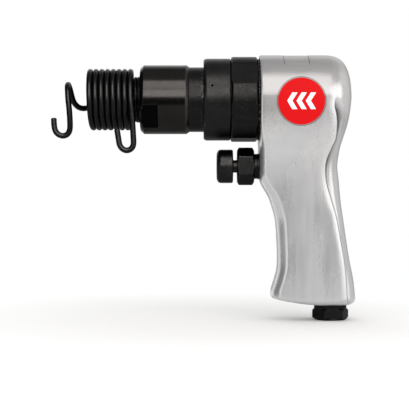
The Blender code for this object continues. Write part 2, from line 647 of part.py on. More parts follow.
def build_valve(steel, rubber):
    port_holes = [
        (around(AIR_PORT_ORBIT, angle, 0.013), around(AIR_PORT_ORBIT, angle, 0.031), AIR_PORT_RADIUS)
        for angle in (0.0, math.pi)
    ]
    pin_angles = (math.radians(90), math.radians(-90))
    pin_holes = [
        (around(PIN_ORBIT, angle, 0.013), around(PIN_ORBIT, angle, 0.031), PIN_RADIUS + GAP)
        for angle in pin_angles
    ]
    holes = drills("valve_holes", port_holes + pin_holes, segments=12)
    front, rear = VALVE_BODY
    body = turned("valve_body", [
        (rear, VALVE_POCKET_RADIUS), (rear, VALVE_RADIUS - 0.0004), (rear - 0.0004, VALVE_RADIUS),
        (front + 0.0004, VALVE_RADIUS), (front, VALVE_RADIUS - 0.0004), (front, 0.0040),
        (VALVE_POCKET_FLOOR, 0.0040), (VALVE_POCKET_FLOOR, VALVE_POCKET_RADIUS),
    ], steel, steps=SMALL_STEPS)
    cut(body, holes)
    front, rear = VALVE_CAP
    cap = turned("valve_cap", [
        (rear, 0.0035), (rear, VALVE_RADIUS - 0.0004), (rear - 0.0004, VALVE_RADIUS),
        *oring_groove(VALVE_ORING, 0.0146, VALVE_RADIUS),
        (front + 0.0004, VALVE_RADIUS), (front, VALVE_RADIUS - 0.0004), (front, 0.0035),
    ], steel, steps=SMALL_STEPS)
    cut(cap, holes)
    ring_of_wire("valve_oring", VALVE_ORING, rubber)
    front, rear = VALVE_DISC
    disc_radius = VALVE_POCKET_RADIUS - 0.0004
    turned("valve_disc", [
        (rear, 0.0), (rear, disc_radius - 0.0002), (rear - 0.0002, disc_radius),
        (front + 0.0002, disc_radius), (front, disc_radius - 0.0002), (front, 0.0),
    ], steel, steps=SMALL_STEPS)
    for number, angle in enumerate(pin_angles, 1):
        name = f"valve_pin_{number}"
        pin = [(around(PIN_ORBIT, angle, 0.015), around(PIN_ORBIT, angle, 0.029), PIN_RADIUS)]
        add_part(name, drill_mesh(name, pin), steel)


def build_throttle(steel, bright_steel, rubber):
    on_axis = (0.0, 0.0, TRIGGER_Z)
    stem_bore = STEM_RADIUS + GAP
    turned("trigger_button", [
        (-0.0243, 0.0), (-0.0243, stem_bore), (BUTTON_REAR, stem_bore),
        (BUTTON_REAR, BUTTON_RADIUS - 0.0006), (BUTTON_REAR - 0.0006, BUTTON_RADIUS),
        (BUTTON_FRONT + 0.0022, BUTTON_RADIUS), (BUTTON_FRONT + 0.0011, BUTTON_RADIUS - 0.0004),
        (BUTTON_FRONT + 0.0003, BUTTON_RADIUS - 0.0013), (BUTTON_FRONT, BUTTON_RADIUS - 0.0026),
        (BUTTON_FRONT, 0.0),
    ], steel, steps=SMALL_STEPS, location=on_axis)
    turned("trigger_stem", [
        (0.0119, 0.0), (0.0119, 0.0028), (0.0020, 0.0028), (0.0010, STEM_RADIUS),
        (-0.0236, STEM_RADIUS), (-0.0240, STEM_RADIUS - 0.0004), (-0.0240, 0.0),
    ], steel, steps=SMALL_STEPS, location=on_axis)
    corner = THROTTLE_ACROSS_FLATS / 2 / math.cos(math.radians(30)) - 0.0001
    bushing = turned("throttle_bushing", [
        (BUSHING_REAR, SEAT_BORE_RADIUS), (BUSHING_REAR, BUSHING_RADIUS - 0.0005),
        (BUSHING_REAR - 0.0005, BUSHING_RADIUS), *oring_groove(BUSHING_ORING, 0.0066, BUSHING_RADIUS),
        (HEX_REAR, BUSHING_RADIUS), (HEX_REAR, corner - 0.0018), (HEX_REAR - 0.0011, corner),
        (HEX_FRONT + 0.0011, corner), (HEX_FRONT, corner - 0.0018), (HEX_FRONT, stem_bore),
        *[(x, r) for x, r in reversed(oring_groove(STEM_ORING, 0.00595, stem_bore))],
        (0.0010, stem_bore), (0.0010, SEAT_BORE_RADIUS),
    ], steel, steps=SMALL_STEPS, location=on_axis)
    flats = hex_cutter(
        "throttle_flats", THROTTLE_ACROSS_FLATS, HEX_FRONT - 0.001, HEX_REAR + 0.0005,
        location=on_axis, phase=math.radians(30),
    )
    ports = [
        (around(0.0050, angle, CROSS_PORT_X), around(0.0095, angle, CROSS_PORT_X), 0.0016)
        for angle in (math.radians(90 * i) for i in range(4))
    ]
    cut(bushing, flats, drills("bushing_ports", ports, on_axis, 12))
    ring_of_wire("bushing_oring", BUSHING_ORING, rubber, location=on_axis)
    ring_of_wire("stem_oring", STEM_ORING, rubber, location=on_axis)
    poppet_back = POPPET_FRONT + 0.0030
    turned("throttle_valve", [
        (poppet_back + 0.0027, 0.0), (poppet_back + 0.0027, 0.0026), (poppet_back + 0.0023, 0.0030),
        (poppet_back, 0.0030), (poppet_back, 0.0062), (poppet_back - 0.0004, 0.0066),
        (POPPET_FRONT + 0.0004, 0.0066), (POPPET_FRONT, 0.0062), (POPPET_FRONT, 0.0),
    ], bright_steel, steps=SMALL_STEPS, location=on_axis)
    turns, wire, radius = 6, 0.0005, 0.0046
    start, end = poppet_back + GAP + wire, CHAMBER_REAR - GAP - wire
    points_per_turn = 10
    count = turns * points_per_turn
    helix = []
    for i in range(count + 1):
        angle = math.tau * i / points_per_turn
        helix.append((start + (end - start) * i / count, radius * math.cos(angle), radius * math.sin(angle)))
    wire_part("throttle_spring", helix, wire, bright_steel, on_axis, roundness=1)


def build_inlet(steel, rubber, mesh_steel):
    below = (INLET_X, 0.0, 0.0)
    corner = INLET_ACROSS_FLATS / 2 / math.cos(math.radians(30)) - 0.0001
    mouth = INLET_BORE_RADIUS + 0.0006
    bushing = turned("inlet_bushing", [
        (INLET_TOP, INLET_BORE_RADIUS), (INLET_TOP, INLET_SHANK_RADIUS - 0.0006),
        (INLET_TOP - 0.0006, INLET_SHANK_RADIUS), *oring_groove(INLET_ORING, 0.0079, INLET_SHANK_RADIUS),
        (INLET_NECK_TOP, INLET_SHANK_RADIUS), (INLET_NECK_TOP, INLET_NECK_RADIUS),
        (INLET_HEX_TOP, INLET_NECK_RADIUS), (INLET_HEX_TOP - 0.0013, corner),
        (INLET_FOOT + 0.0015, corner), (INLET_FOOT, corner - 0.0024), (INLET_FOOT, mouth + 0.0007),
        (INLET_FOOT + 0.0007, mouth), (-0.128, INLET_BORE_RADIUS),
    ], steel, axis="Z", steps=SMALL_STEPS, location=below)
    flats = hex_cutter(
        "inlet_flats", INLET_ACROSS_FLATS, INLET_FOOT - 0.001, INLET_HEX_TOP + 0.0002,
        axis="Z", location=below, phase=INLET_HEX_TURN,
    )
    cut(bushing, flats)
    ring_of_wire("inlet_oring", INLET_ORING, rubber, "Z", below)
    screen_bottom = INLET_TOP + GAP
    screen = turned("inlet_screen", [
        (screen_bottom + 0.0008, 0.0), (screen_bottom + 0.0008, 0.0095),
        (screen_bottom, 0.0095), (screen_bottom, 0.0),
    ], mesh_steel, axis="Z", steps=SMALL_STEPS, location=below)
    mesh_holes = [(0.0, 0.0)]
    outer_ring = (math.tau * i / 6 for i in range(6))
    mesh_holes += [(0.0036 * math.cos(a), 0.0036 * math.sin(a)) for a in outer_ring]
    holes = [((x, y, screen_bottom - 0.001), (x, y, screen_bottom + 0.002), 0.0012) for x, y in mesh_holes]
    cut(screen, drills("screen_holes", holes, below, 8))


def build_retainer(spring_steel):
    """One wire: the front hook, the coils round the nose, and the pull loop."""
    first_angle = math.radians(-97)
    count = round((COIL_TURNS - first_angle / math.tau) * COIL_POINTS_PER_TURN)
    coil = []
    for i in range(count + 1):
        angle = first_angle + (COIL_TURNS * math.tau - first_angle) * i / count
        x = COIL_FIRST_TOP + COIL_PITCH * angle / math.tau
        coil.append(Vector((x, -COIL_RADIUS * math.sin(angle), COIL_RADIUS * math.cos(angle))))
    hook = smooth_route([coil[1], coil[0], *HOOK_ROUTE], WIRE_POINT_SPACING)
    hook = [p for p in hook if p.x < coil[0].x - 0.001]
    loop = smooth_route([coil[-2], coil[-1], *LOOP_ROUTE], WIRE_POINT_SPACING)
    loop = [p for p in loop if p.z < coil[-1].z - 0.001]
    wire_part("retainer_spring", hook[::-1] + coil + loop, WIRE_RADIUS, spring_steel)


def main():
    aluminium = finish("cast_aluminium", (0.62, 0.61, 0.60), 0.35, 1.0)
    black_steel = finish("black_steel", (0.02, 0.02, 0.021), 0.35, 1.0)
    spring_steel = finish("black_spring_steel", (0.025, 0.025, 0.027), 0.40, 1.0)
    bright_steel = finish("bright_steel", (0.45, 0.45, 0.46), 0.30, 1.0)
    mesh_steel = finish("screen_steel", (0.55, 0.53, 0.48), 0.40, 1.0)
    rubber = finish("seal_rubber", (0.02, 0.02, 0.02), 0.60, 0.0)
    build_housing(aluminium)
    build_cylinder(black_steel)
    build_collar(black_steel, spring_steel, rubber)
    build_piston(bright_steel)
    build_valve(bright_steel, rubber)
    build_throttle(black_steel, bright_steel, rubber)
    build_inlet(black_steel, rubber, mesh_steel)
    build_retainer(spring_steel)


main()
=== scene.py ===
import json
import math

import bmesh
import bpy
import numpy as np
from mathutils import Matrix, Vector


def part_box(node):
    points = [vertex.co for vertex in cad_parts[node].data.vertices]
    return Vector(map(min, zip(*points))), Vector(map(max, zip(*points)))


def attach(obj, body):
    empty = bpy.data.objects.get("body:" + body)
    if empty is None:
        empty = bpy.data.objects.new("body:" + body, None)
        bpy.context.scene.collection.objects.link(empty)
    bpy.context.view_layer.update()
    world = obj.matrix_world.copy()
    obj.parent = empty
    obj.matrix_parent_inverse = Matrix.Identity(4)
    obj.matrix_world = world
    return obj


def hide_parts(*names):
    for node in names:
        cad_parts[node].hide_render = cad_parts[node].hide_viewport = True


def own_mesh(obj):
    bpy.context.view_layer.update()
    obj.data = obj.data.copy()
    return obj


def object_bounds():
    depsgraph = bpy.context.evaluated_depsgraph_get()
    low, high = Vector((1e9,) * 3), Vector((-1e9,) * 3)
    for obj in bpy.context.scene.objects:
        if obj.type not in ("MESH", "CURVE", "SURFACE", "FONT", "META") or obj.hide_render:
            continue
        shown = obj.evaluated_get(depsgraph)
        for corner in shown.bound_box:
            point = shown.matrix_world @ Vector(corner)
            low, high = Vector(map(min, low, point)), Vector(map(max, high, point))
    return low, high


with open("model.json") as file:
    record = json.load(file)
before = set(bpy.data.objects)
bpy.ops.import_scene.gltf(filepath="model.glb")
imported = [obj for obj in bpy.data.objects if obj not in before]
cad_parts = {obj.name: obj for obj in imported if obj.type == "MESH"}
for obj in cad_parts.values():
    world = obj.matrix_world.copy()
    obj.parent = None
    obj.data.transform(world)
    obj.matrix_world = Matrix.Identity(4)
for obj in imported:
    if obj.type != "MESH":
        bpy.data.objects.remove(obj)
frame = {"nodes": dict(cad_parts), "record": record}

# Looks of the pneumatic air hammer. Each visible CAD node is replaced by a finer mesh of the same size.
# Coordinates are the design's own: X counts rearwards from the housing's front face, Z from the
# barrel's axis, and -Y is the badge's side. ORIGIN puts them in the world.
CAD_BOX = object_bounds()
COLLAR_LOW, COLLAR_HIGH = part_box("exhaust_deflector")
ORIGIN = Vector((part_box("housing")[0].x, 0.0, (COLLAR_LOW.z + COLLAR_HIGH.z) / 2))


def design_box(node):
    low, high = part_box(node)
    return low - ORIGIN, high - ORIGIN


BODY_OF = {n: body for body, nodes in frame["record"]["behaviour"]["bodies"].items() for n in nodes}
SLOT_OF = {part["node"]: part["material_slot"] for part in frame["record"]["subparts"]}

black_pieces = bpy.data.collections.new("black_pieces")
wire_pieces = bpy.data.collections.new("wire_pieces")

ROUND_STEPS = 216
GAP = 0.0003

# Barrel
NOSE_FRONT = design_box("cylinder")[0].x
BARREL_REAR = design_box("cylinder")[1].x
NOSE_RADIUS = 0.0149
NOSE_THREAD = (-0.1015, -0.0779)
THREAD_PITCH = 0.00187
THREAD_DEPTH = 0.0007
MUZZLE_FRONT = -0.0768
MUZZLE_REAR = -0.0456
MUZZLE_RADIUS = 0.0223
WAIST_RADIUS = 0.0209
SNAP_GROOVE = (-0.0360, -0.0344)
SNAP_GROOVE_RADIUS = 0.0198
LAND_FRONT = -0.0245
LAND_RADIUS = 0.0224
WORN_WIDTH = 0.0021
WRENCH_FLAT_END = -0.0650
WRENCH_FLAT_DEPTH = 0.00175
WRENCH_FLAT_TILT = math.radians(36.4)
BARREL_SHANK_RADIUS = 0.0167
BORE_RADIUS = 0.0095
BORE_FRONT = -0.066
SHANK_HOLE_RADIUS = 0.0051

# Collar and nut
COLLAR_FRONT = design_box("exhaust_deflector")[0].x
COLLAR_REAR = design_box("exhaust_deflector")[1].x
COLLAR_RADIUS = (COLLAR_HIGH.z - COLLAR_LOW.z) / 2
COLLAR_BORE_RADIUS = LAND_RADIUS + GAP
COUNTERBORE_RADIUS = 0.0244
COUNTERBORE_REAR = -0.0342
VENT_X = -0.0306
VENT_TILT = math.radians(14.6)
VENT_RADIUS = 0.0009
OUTLET_X = -0.0290
OUTLET_RADIUS = 0.0022
OUTLET_ANGLES = (-32, -16, 0, 16, 32)
DRILL_FROM = 0.020
DRILL_TO = 0.030
LOCK_RING_BORE = 0.0171
LOCK_RING_NOTCHES = 36
NUT_FRONT = COLLAR_REAR + GAP
NUT_REAR = -0.0015
NUT_RADIUS = 0.0278
NUT_ACROSS_FLATS = 0.05285
NUT_CORNER_TILT = math.radians(-4.7)

# Housing
HEAD_RADIUS = 0.0286
DOME_START = 0.041
DOME_POWER = 2.9
FOOT_Z = -0.1326
FOOT_RISE = 0.0040
FOOT_SLOPE_X = (0.009, 0.044)
FRONT_LINE = (
    (0.0, 0.0), (-0.0460, 0.0), (-0.0505, 0.0001), (-0.0550, 0.0016), (-0.0628, 0.0061),
    (-0.0706, 0.0088), (-0.0784, 0.0107), (-0.0900, 0.0116), (-0.1018, 0.0120),
    (-0.1096, 0.0117), (-0.1174, 0.0098), (-0.1250, 0.0080), (FOOT_Z, 0.0075),
)
BACK_LINE = (
    (0.0, 0.0592), (-0.0080, 0.0584), (-0.0160, 0.0569), (-0.0240, 0.0544), (-0.0317, 0.0520),
    (-0.0434, 0.0504), (-0.0510, 0.0512), (-0.0667, 0.0527), (-0.0820, 0.0549),
    (-0.1020, 0.0579), (-0.1170, 0.0608), (-0.1290, 0.0621), (FOOT_Z, 0.0621),
)
CREASE_LINE = (
    (0.0, 0.0468), (-0.0060, 0.0460), (-0.0120, 0.0472), (-0.0180, 0.0477), (-0.0270, 0.0470),
    (-0.0320, 0.0447), (-0.0393, 0.0418), (-0.0452, 0.0409), (-0.0540, 0.0417),
    (-0.0655, 0.0449), (-0.0762, 0.0481), (-0.0934, 0.0513), (-0.1100, 0.0539), (FOOT_Z, 0.0553),
)
SIDE_LINE = (
    (0.0, HEAD_RADIUS), (-0.0080, 0.0279), (-0.0160, 0.0264), (-0.0240, 0.0246), (-0.0320, 0.0227),
    (-0.0400, 0.0209), (-0.0500, 0.0192), (-0.0600, 0.0180), (-0.0720, 0.0172),
    (-0.0900, 0.0170), (-0.1100, 0.0172), (FOOT_Z, 0.0176),
)
STEP_LINE = (
    (0.0, 0.0), (-0.0030, 0.0006), (-0.0060, 0.0024), (-0.0090, 0.0037), (-0.0130, 0.0041),
    (-0.0180, 0.0035), (-0.0240, 0.0025), (-0.0320, 0.0024), (-0.0400, 0.0028), (-0.0480, 0.0022),
    (-0.0650, 0.0013), (-0.0900, 0.0011), (FOOT_Z, 0.0009),
)
CREASE_WIDTH_LINE = (
    (0.0, 0.0008), (-0.0050, 0.0012), (-0.0100, 0.0022), (-0.0150, 0.0026), (-0.0200, 0.0020),
    (-0.0260, 0.0012), (-0.0340, 0.0016), (-0.0420, 0.0020), (-0.0500, 0.0014),
    (-0.0650, 0.0009), (FOOT_Z, 0.0008),
)
FRONT_ROUND_LINE = (
    (0.0, 0.0012), (-0.0200, 0.0015), (-0.0300, 0.0035), (-0.0460, 0.0040), (-0.0600, 0.0055),
    (-0.0720, 0.0068), (FOOT_Z, 0.0068),
)
FRONT_WIDE_LINE = (
    (0.0, 0.0012), (-0.0200, 0.0020), (-0.0300, 0.0080), (-0.0460, 0.0090), (-0.0600, 0.0100),
    (-0.0720, 0.0105), (FOOT_Z, 0.0105),
)
STEP_AT_REAR = 0.40
STEP_FADE = 0.0032
FOOT_BLEND_Z = -0.117
FOOT_RIM_RADII = (0.0018, 0.0045)
BORE_MOUTH = 0.0012
HEAD_BORE_STEP_X = 0.030
HEAD_BORE_REAR = 0.037
PASSAGE_LOWER = (0.045, 0.0, -0.118)
PASSAGE_UPPER = (0.0275, 0.0, -0.041)
PASSAGE_RADIUS = 0.0048
RECESS_X = (0.0149, 0.0316)
RECESS_HALF_ANGLE = math.radians(45)
RECESS_CORNER = 0.0010
RECESS_DEPTH = 0.00016

# Badge
BADGE_LOW, BADGE_HIGH = design_box("badge")
BADGE_X = (BADGE_LOW.x + BADGE_HIGH.x) / 2
BADGE_Z = (BADGE_LOW.z + BADGE_HIGH.z) / 2
BADGE_RADIUS = (BADGE_HIGH.x - BADGE_LOW.x) / 2
BADGE_THICKNESS = 0.00060

# Throttle
TRIGGER_Z = -0.0433
BUTTON_LOW, BUTTON_HIGH = design_box("trigger_button")
BUTTON_RADIUS = (BUTTON_HIGH.y - BUTTON_LOW.y) / 2
BUTTON_SOCKET_X = -0.0243
DIMPLE_RADIUS = 0.0046
DIMPLE_DEPTH = 0.00015
STEM_RADIUS = 0.0041
HEX_FRONT = design_box("throttle_bushing")[0].x
HEX_REAR = -0.0033
THROTTLE_ACROSS_FLATS = 0.0213
BUSHING_RADIUS = 0.0083
BUSHING_REAR = design_box("throttle_bushing")[1].x
SEAT_BORE_RADIUS = 0.0057
CHAMBER_FRONT = 0.013
CHAMBER_REAR = 0.0333
CHAMBER_RADIUS = 0.0072

# Inlet
INLET_LOW, INLET_HIGH = design_box("inlet_bushing")
INLET_X = 0.0463
INLET_HEX_TOP = -0.1353
INLET_NECK_TOP = FOOT_Z - GAP
INLET_NECK_RADIUS = 0.0105
INLET_SHANK_RADIUS = 0.0096
INLET_ACROSS_FLATS = 0.0208
INLET_HEX_TURN = math.radians(5.8)
INLET_BORE_RADIUS = 0.0056
INLET_BORE_TOP = -0.116
PIPE_THREAD_PITCH = 0.00141

# Retainer: one wire, from the tip of its hook through the coil to the end of its pull loop
WIRE_RADIUS = 0.00186
COIL_RADIUS = 0.0181
COIL_PITCH = 0.00373
COIL_TURNS = 7.25
COIL_FIRST_TOP = -0.1095
COIL_START = math.radians(-97)
COIL_POINTS_PER_TURN = 48
WIRE_POINT_SPACING = 0.0006
HOOK_ROUTE = (
    (-0.1131, 0.0166, -0.0038), (-0.1160, 0.0149, -0.0044), (-0.1187, 0.0132, -0.0037),
    (-0.1207, 0.0117, -0.0019), (-0.1220, 0.0104, 0.0005), (-0.1229, 0.0088, 0.0040),
    (-0.1236, 0.0060, 0.0077), (-0.1241, 0.0010, 0.0099), (-0.1238, -0.0052, 0.0080),
    (-0.1233, -0.0085, 0.0043), (-0.1229, -0.0095, -0.0006), (-0.1223, -0.0096, -0.0065),
    (-0.1219, -0.0091, -0.0125), (-0.1219, -0.0078, -0.0178), (-0.1224, -0.0067, -0.0206),
    (-0.1234, -0.0063, -0.0224), (-0.1248, -0.0061, -0.0234), (-0.1268, -0.0060, -0.0238),
    (-0.1290, -0.0060, -0.0232), (-0.1308, -0.0060, -0.0218), (-0.1319, -0.0060, -0.0196),
    (-0.1324, -0.0060, -0.0164), (-0.1326, -0.0060, -0.0123),
)
LOOP_ROUTE = (
    (-0.0816, -0.0178, -0.0096), (-0.0811, -0.0173, -0.0172), (-0.0807, -0.0170, -0.0240),
    (-0.0805, -0.0168, -0.0288), (-0.0810, -0.0167, -0.0312), (-0.0824, -0.0166, -0.0329),
    (-0.0846, -0.0165, -0.0337), (-0.0867, -0.0165, -0.0332), (-0.0884, -0.0164, -0.0318),
    (-0.0895, -0.0164, -0.0297), (-0.0901, -0.0164, -0.0262), (-0.0907, -0.0164, -0.0226),
    (-0.0911, -0.0164, -0.0200),
)

# View and light. A softbox is (name, azimuth, elevation, width, height, radiance, colour), seen from the
# tool: azimuth 0 is the camera's side and 90 the housing's back. STEEL_SOFTBOXES light the black steel only,
# and of them wire_box lights the retainer's wire only.
VIEW_POINT = Vector((-0.0354, 0.0, -0.0681))
VIEW_DISTANCE = 0.750
VIEW_WIDTH = 0.2659
SENSOR_WIDTH = 36.0
SOFTBOX_DISTANCE = 1.1
WHITE = (1.0, 1.0, 1.0)
WARM_WHITE = (1.0, 0.975, 0.96)
SOFTBOXES = (
    ("key_high", 5, 49, 0.56, 0.56, 1.35, WARM_WHITE),
    ("key_low", 5, 21, 0.56, 0.46, 1.30, WARM_WHITE),
    ("right_box", 41, 9, 0.88, 1.00, 1.60, WHITE),
    ("left_box", -40, -2, 0.60, 0.95, 1.35, WHITE),
    ("crease_box", 22, -3, 0.12, 0.90, 1.2, WHITE),
    ("rear_left_box", -149, 4, 0.85, 1.10, 0.95, WHITE),
    ("back_box", 172, 40, 1.0, 0.55, 0.5, WHITE),
)
STEEL_SOFTBOXES = (
    ("steel_high", -1.5, 47, 0.36, 0.56, 7.0, WARM_WHITE),
    ("steel_low", -1.5, 19, 0.36, 0.46, 10.0, WARM_WHITE),
    ("wire_box", 0, 31, 0.90, 0.95, 8.0, WARM_WHITE),
    ("steel_top", 0, 88, 1.3, 1.1, 0.62, WHITE),
    ("steel_back", 180, 42, 1.3, 0.8, 1.8, WHITE),
)

# What the metal mirrors where no softbox is: (direction, brightness) stops along Z, Y and X, multiplied.
ROOM_BY_HEIGHT = ((-1.0, 0.35), (0.0, 0.25), (0.3, 0.28), (0.8, 0.36), (1.0, 0.37))
ROOM_BY_DEPTH = ((-1.0, 0.84), (-0.2, 0.8), (0.25, 0.8), (0.7, 0.9), (1.0, 1.0))
ROOM_BY_SIDE = ((-1.0, 0.4), (-0.6, 0.6), (0.0, 1.0), (0.5, 1.6), (0.8, 3.5), (1.0, 4.2))
FLOOR_RADIUS = 0.36

# The wear from which black steel also shows fine specks
SPECKLED_FROM = 0.3

# Point attribute: how far a casting point lies in the hollow behind the crease, which sets the shade painted
# there
HOLLOW_SHADE = "hollow"


# ---- meshes ----

def mesh_of_grid(name, points, wrap_rows=False, wrap_columns=False):
    """A mesh from a rows x columns x 3 array. Points that coincide become one."""
    rows, columns = points.shape[:2]
    index = np.arange(rows * columns).reshape(rows, columns)
    if wrap_rows:
        index = np.vstack([index, index[:1]])
    if wrap_columns:
        index = np.hstack([index, index[:, :1]])
    quads = np.stack([index[:-1, :-1], index[1:, :-1], index[1:, 1:], index[:-1, 1:]], axis=-1)
    mesh = bpy.data.meshes.new(name)
    mesh.from_pydata(points.reshape(-1, 3).tolist(), [], quads.reshape(-1, 4).tolist())
    bm = bmesh.new()
    bm.from_mesh(mesh)
    bmesh.ops.remove_doubles(bm, verts=bm.verts, dist=0.0000005)
    bmesh.ops.recalc_face_normals(bm, faces=bm.faces)
    bm.to_mesh(mesh)
    bm.free()
    return mesh


def smoothed(mesh, sharp_angle=35):
    mesh.shade_smooth()
    mesh.set_sharp_from_angle(angle=math.radians(sharp_angle))
    return mesh


def rounded_profile(profile, longest):
    """(along, radius) points of a profile whose corners may carry a third number, how far back their
    rounding starts. No step is longer than said."""
    places = [np.array(point[:2], float) for point in profile]
    count = len(places)
    closed = profile[0][1] > 0.0
    line = []
    for i, point in enumerate(profile):
        setback = point[2] if len(point) > 2 else 0.0
        here = places[i]
        if not setback:
            line.append(here)
            continue
        before, after = places[i - 1] - here, places[(i + 1) % count] - here
        start = here + before / np.linalg.norm(before) * setback
        end = here + after / np.linalg.norm(after) * setback
        for part in (0.0, 0.2, 0.4, 0.6, 0.8, 1.0):
            line.append(start * (1 - part) ** 2 + here * 2 * part * (1 - part) + end * part**2)
    if closed:
        line.append(line[0])
    split = []
    for here, after in zip(line, line[1:]):
        steps = max(1, math.ceil(np.linalg.norm(after - here) / longest))
        split += [here + (after - here) * i / steps for i in range(steps)]
    return np.array(split if closed else split + [line[-1]])


def lathe(name, profile, axis="X", centre=(0.0, 0.0, 0.0), carve=(), start=0.0,
          steps=ROUND_STEPS, longest=0.0016):
    """A turned mesh. Each carve function changes the radius by the place along the axis and the angle,
    which counts from +Y towards +Z, or from +X towards +Y on the Z axis."""
    line = rounded_profile(profile, longest)
    angle = start + np.arange(steps)[None, :] * math.tau / steps
    along = line[:, :1] + np.zeros_like(angle)
    radius = line[:, 1:] + np.zeros_like(angle)
    for change in carve:
        radius = change(along, radius, angle)
    across, up = radius * np.cos(angle), radius * np.sin(angle)
    order = (along, across, up) if axis == "X" else (across, up, along)
    points = np.stack(order, axis=-1) + np.array(centre)
    return mesh_of_grid(name, points, wrap_rows=profile[0][1] > 0.0, wrap_columns=True)


def six_flats(across, corner_angle, near, far):
    """Carves a hexagon whose corners are at corner_angle and every 60 degrees from it."""
    def carve(along, radius, angle):
        from_flat = (angle - corner_angle) % (math.pi / 3) - math.pi / 6
        flat = across / 2 / np.cos(from_flat)
        inside = (along >= near) & (along <= far)
        return np.where(inside, np.minimum(radius, flat), radius)
    return carve


def flats_across(height, middle_angle, near, far):
    """Carves two opposite flats at this distance from the axis."""
    def carve(along, radius, angle):
        from_flat = np.abs((angle - middle_angle + math.pi / 2) % math.pi - math.pi / 2)
        flat = height / np.cos(np.minimum(from_flat, math.radians(80)))
        inside = (along >= near) & (along <= far)
        return np.where(inside, np.minimum(radius, flat), radius)
    return carve


def thread(pitch, depth, near, far, smallest, largest):
    """Carves a rounded helical groove between two places along the axis, where the radius is in range."""
    def carve(along, radius, angle):
        groove = 0.5 - 0.5 * np.cos(math.tau * along / pitch - angle)
        ease = np.clip(np.minimum(along - near, far - along) / (pitch / 2), 0.0, 1.0)
        inside = (radius > smallest) & (radius < largest)
        return np.where(inside, radius - depth * groove**1.5 * ease, radius)
    return carve


def rods(name, holes):
    """Round rods in one mesh: (start, end, radius) each."""
    bm = bmesh.new()
    for start, end, radius in holes:
        start, end = Vector(start), Vector(end)
        turn_to = (end - start).to_track_quat("Z", "Y").to_matrix().to_4x4()
        bmesh.ops.create_cone(
            bm, cap_ends=True, segments=32, radius1=radius, radius2=radius,
            depth=(end - start).length, matrix=Matrix.Translation((start + end) / 2) @ turn_to,
        )
    mesh = bpy.data.meshes.new(name)
    bm.to_mesh(mesh)
    bm.free()
    return mesh


def cut_away(mesh, *cutters):
    """The mesh less each cutter."""
    scratch = bpy.data.objects.new("scratch", mesh)
    bpy.context.scene.collection.objects.link(scratch)
    tools = []
    for cutter in cutters:
        tool = bpy.data.objects.new(cutter.name, cutter)
        bpy.context.scene.collection.objects.link(tool)
        tools.append(tool)
        modifier = scratch.modifiers.new(cutter.name, "BOOLEAN")
        modifier.operation = "DIFFERENCE"
        modifier.solver = "EXACT"
        modifier.object = tool
    bpy.context.view_layer.update()
    graph = bpy.context.evaluated_depsgraph_get()
    result = bpy.data.meshes.new_from_object(scratch.evaluated_get(graph))
    for obj in [scratch, *tools]:
        bpy.data.objects.remove(obj, do_unlink=True)
    return result


def around(orbit, angle, x):
    return (x, orbit * math.cos(angle), orbit * math.sin(angle))


def add_piece(name, data, node, *materials, stands_for_it=True):
    """Puts a mesh or curve in the scene on the body of its CAD node, among the black pieces if that node's
    slot is black.
    """
    obj = bpy.data.objects.new(name, data)
    obj.location = ORIGIN
    bpy.context.scene.collection.objects.link(obj)
    data.materials.clear()
    for material in materials:
        data.materials.append(material)
    if stands_for_it:
        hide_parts(node)
    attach(obj, BODY_OF[node])
    if SLOT_OF[node].startswith("black"):
        black_pieces.objects.link(obj)
    return obj


# ---- materials ----

class Recipe:
    """A Principled material with short ways to add the nodes that it needs."""

    def __init__(self, name, **fixed):
        self.material = bpy.data.materials.new(name)
        self.material.use_nodes = True
        self.tree = self.material.node_tree
        self.shader = self.tree.nodes["Principled BSDF"]
        for socket, value in fixed.items():
            self.shader.inputs[socket.replace("_", " ")].default_value = value
        self.place = self.tree.nodes.new("ShaderNodeTexCoord").outputs["Object"]

    def node(self, kind, **inputs):
        made = self.tree.nodes.new("ShaderNode" + kind)
        for socket, value in inputs.items():
            self.feed(made.inputs[socket.replace("_", " ")], value)
        return made

    def feed(self, socket, value):
        if isinstance(value, bpy.types.NodeSocket):
            self.tree.links.new(value, socket)
        else:
            socket.default_value = value

    def noise(self, scale, detail=3.0, stretch=(1.0, 1.0, 1.0), roughness=0.5):
        place = self.node("Mapping", Vector=self.place, Scale=stretch).outputs["Vector"]
        made = self.node("TexNoise", Vector=place, Scale=scale, Detail=detail, Roughness=roughness)
        return made.outputs["Fac"]

    def cells(self, scale):
        return self.node("TexVoronoi", Vector=self.place, Scale=scale).outputs["Distance"]

    def ramp(self, value, low, high, low_value=0.0, high_value=1.0):
        made = self.node("MapRange", Value=value)
        for socket, number in zip(made.inputs[1:5], (low, high, low_value, high_value)):
            socket.default_value = number
        return made.outputs["Result"]

    def math(self, operation, a, b):
        made = self.tree.nodes.new("ShaderNodeMath")
        made.operation = operation
        self.feed(made.inputs[0], a)
        self.feed(made.inputs[1], b)
        return made.outputs[0]

    def blend(self, factor, a, b):
        """Colour a where the factor is 0 and colour b where it is 1."""
        made = self.tree.nodes.new("ShaderNodeMix")
        made.data_type = "RGBA"
        self.feed(made.inputs["Factor"], factor)
        colours = [socket for socket in made.inputs if socket.type == "RGBA"]
        for socket, value in zip(colours, (a, b)):
            self.feed(socket, (*value, 1.0) if isinstance(value, tuple) else value)
        return next(socket for socket in made.outputs if socket.type == "RGBA")

    def bump(self, height, distance, under=None):
        made = self.node("Bump", Height=height, Distance=distance, Strength=1.0)
        if under is not None:
            self.feed(made.inputs["Normal"], under)
        return made.outputs["Normal"]

    def done(self, colour=None, roughness=None, normal=None):
        for socket, value in (("Base Color", colour), ("Roughness", roughness), ("Normal", normal)):
            if value is not None:
                self.feed(self.shader.inputs[socket], value)
        return self.material


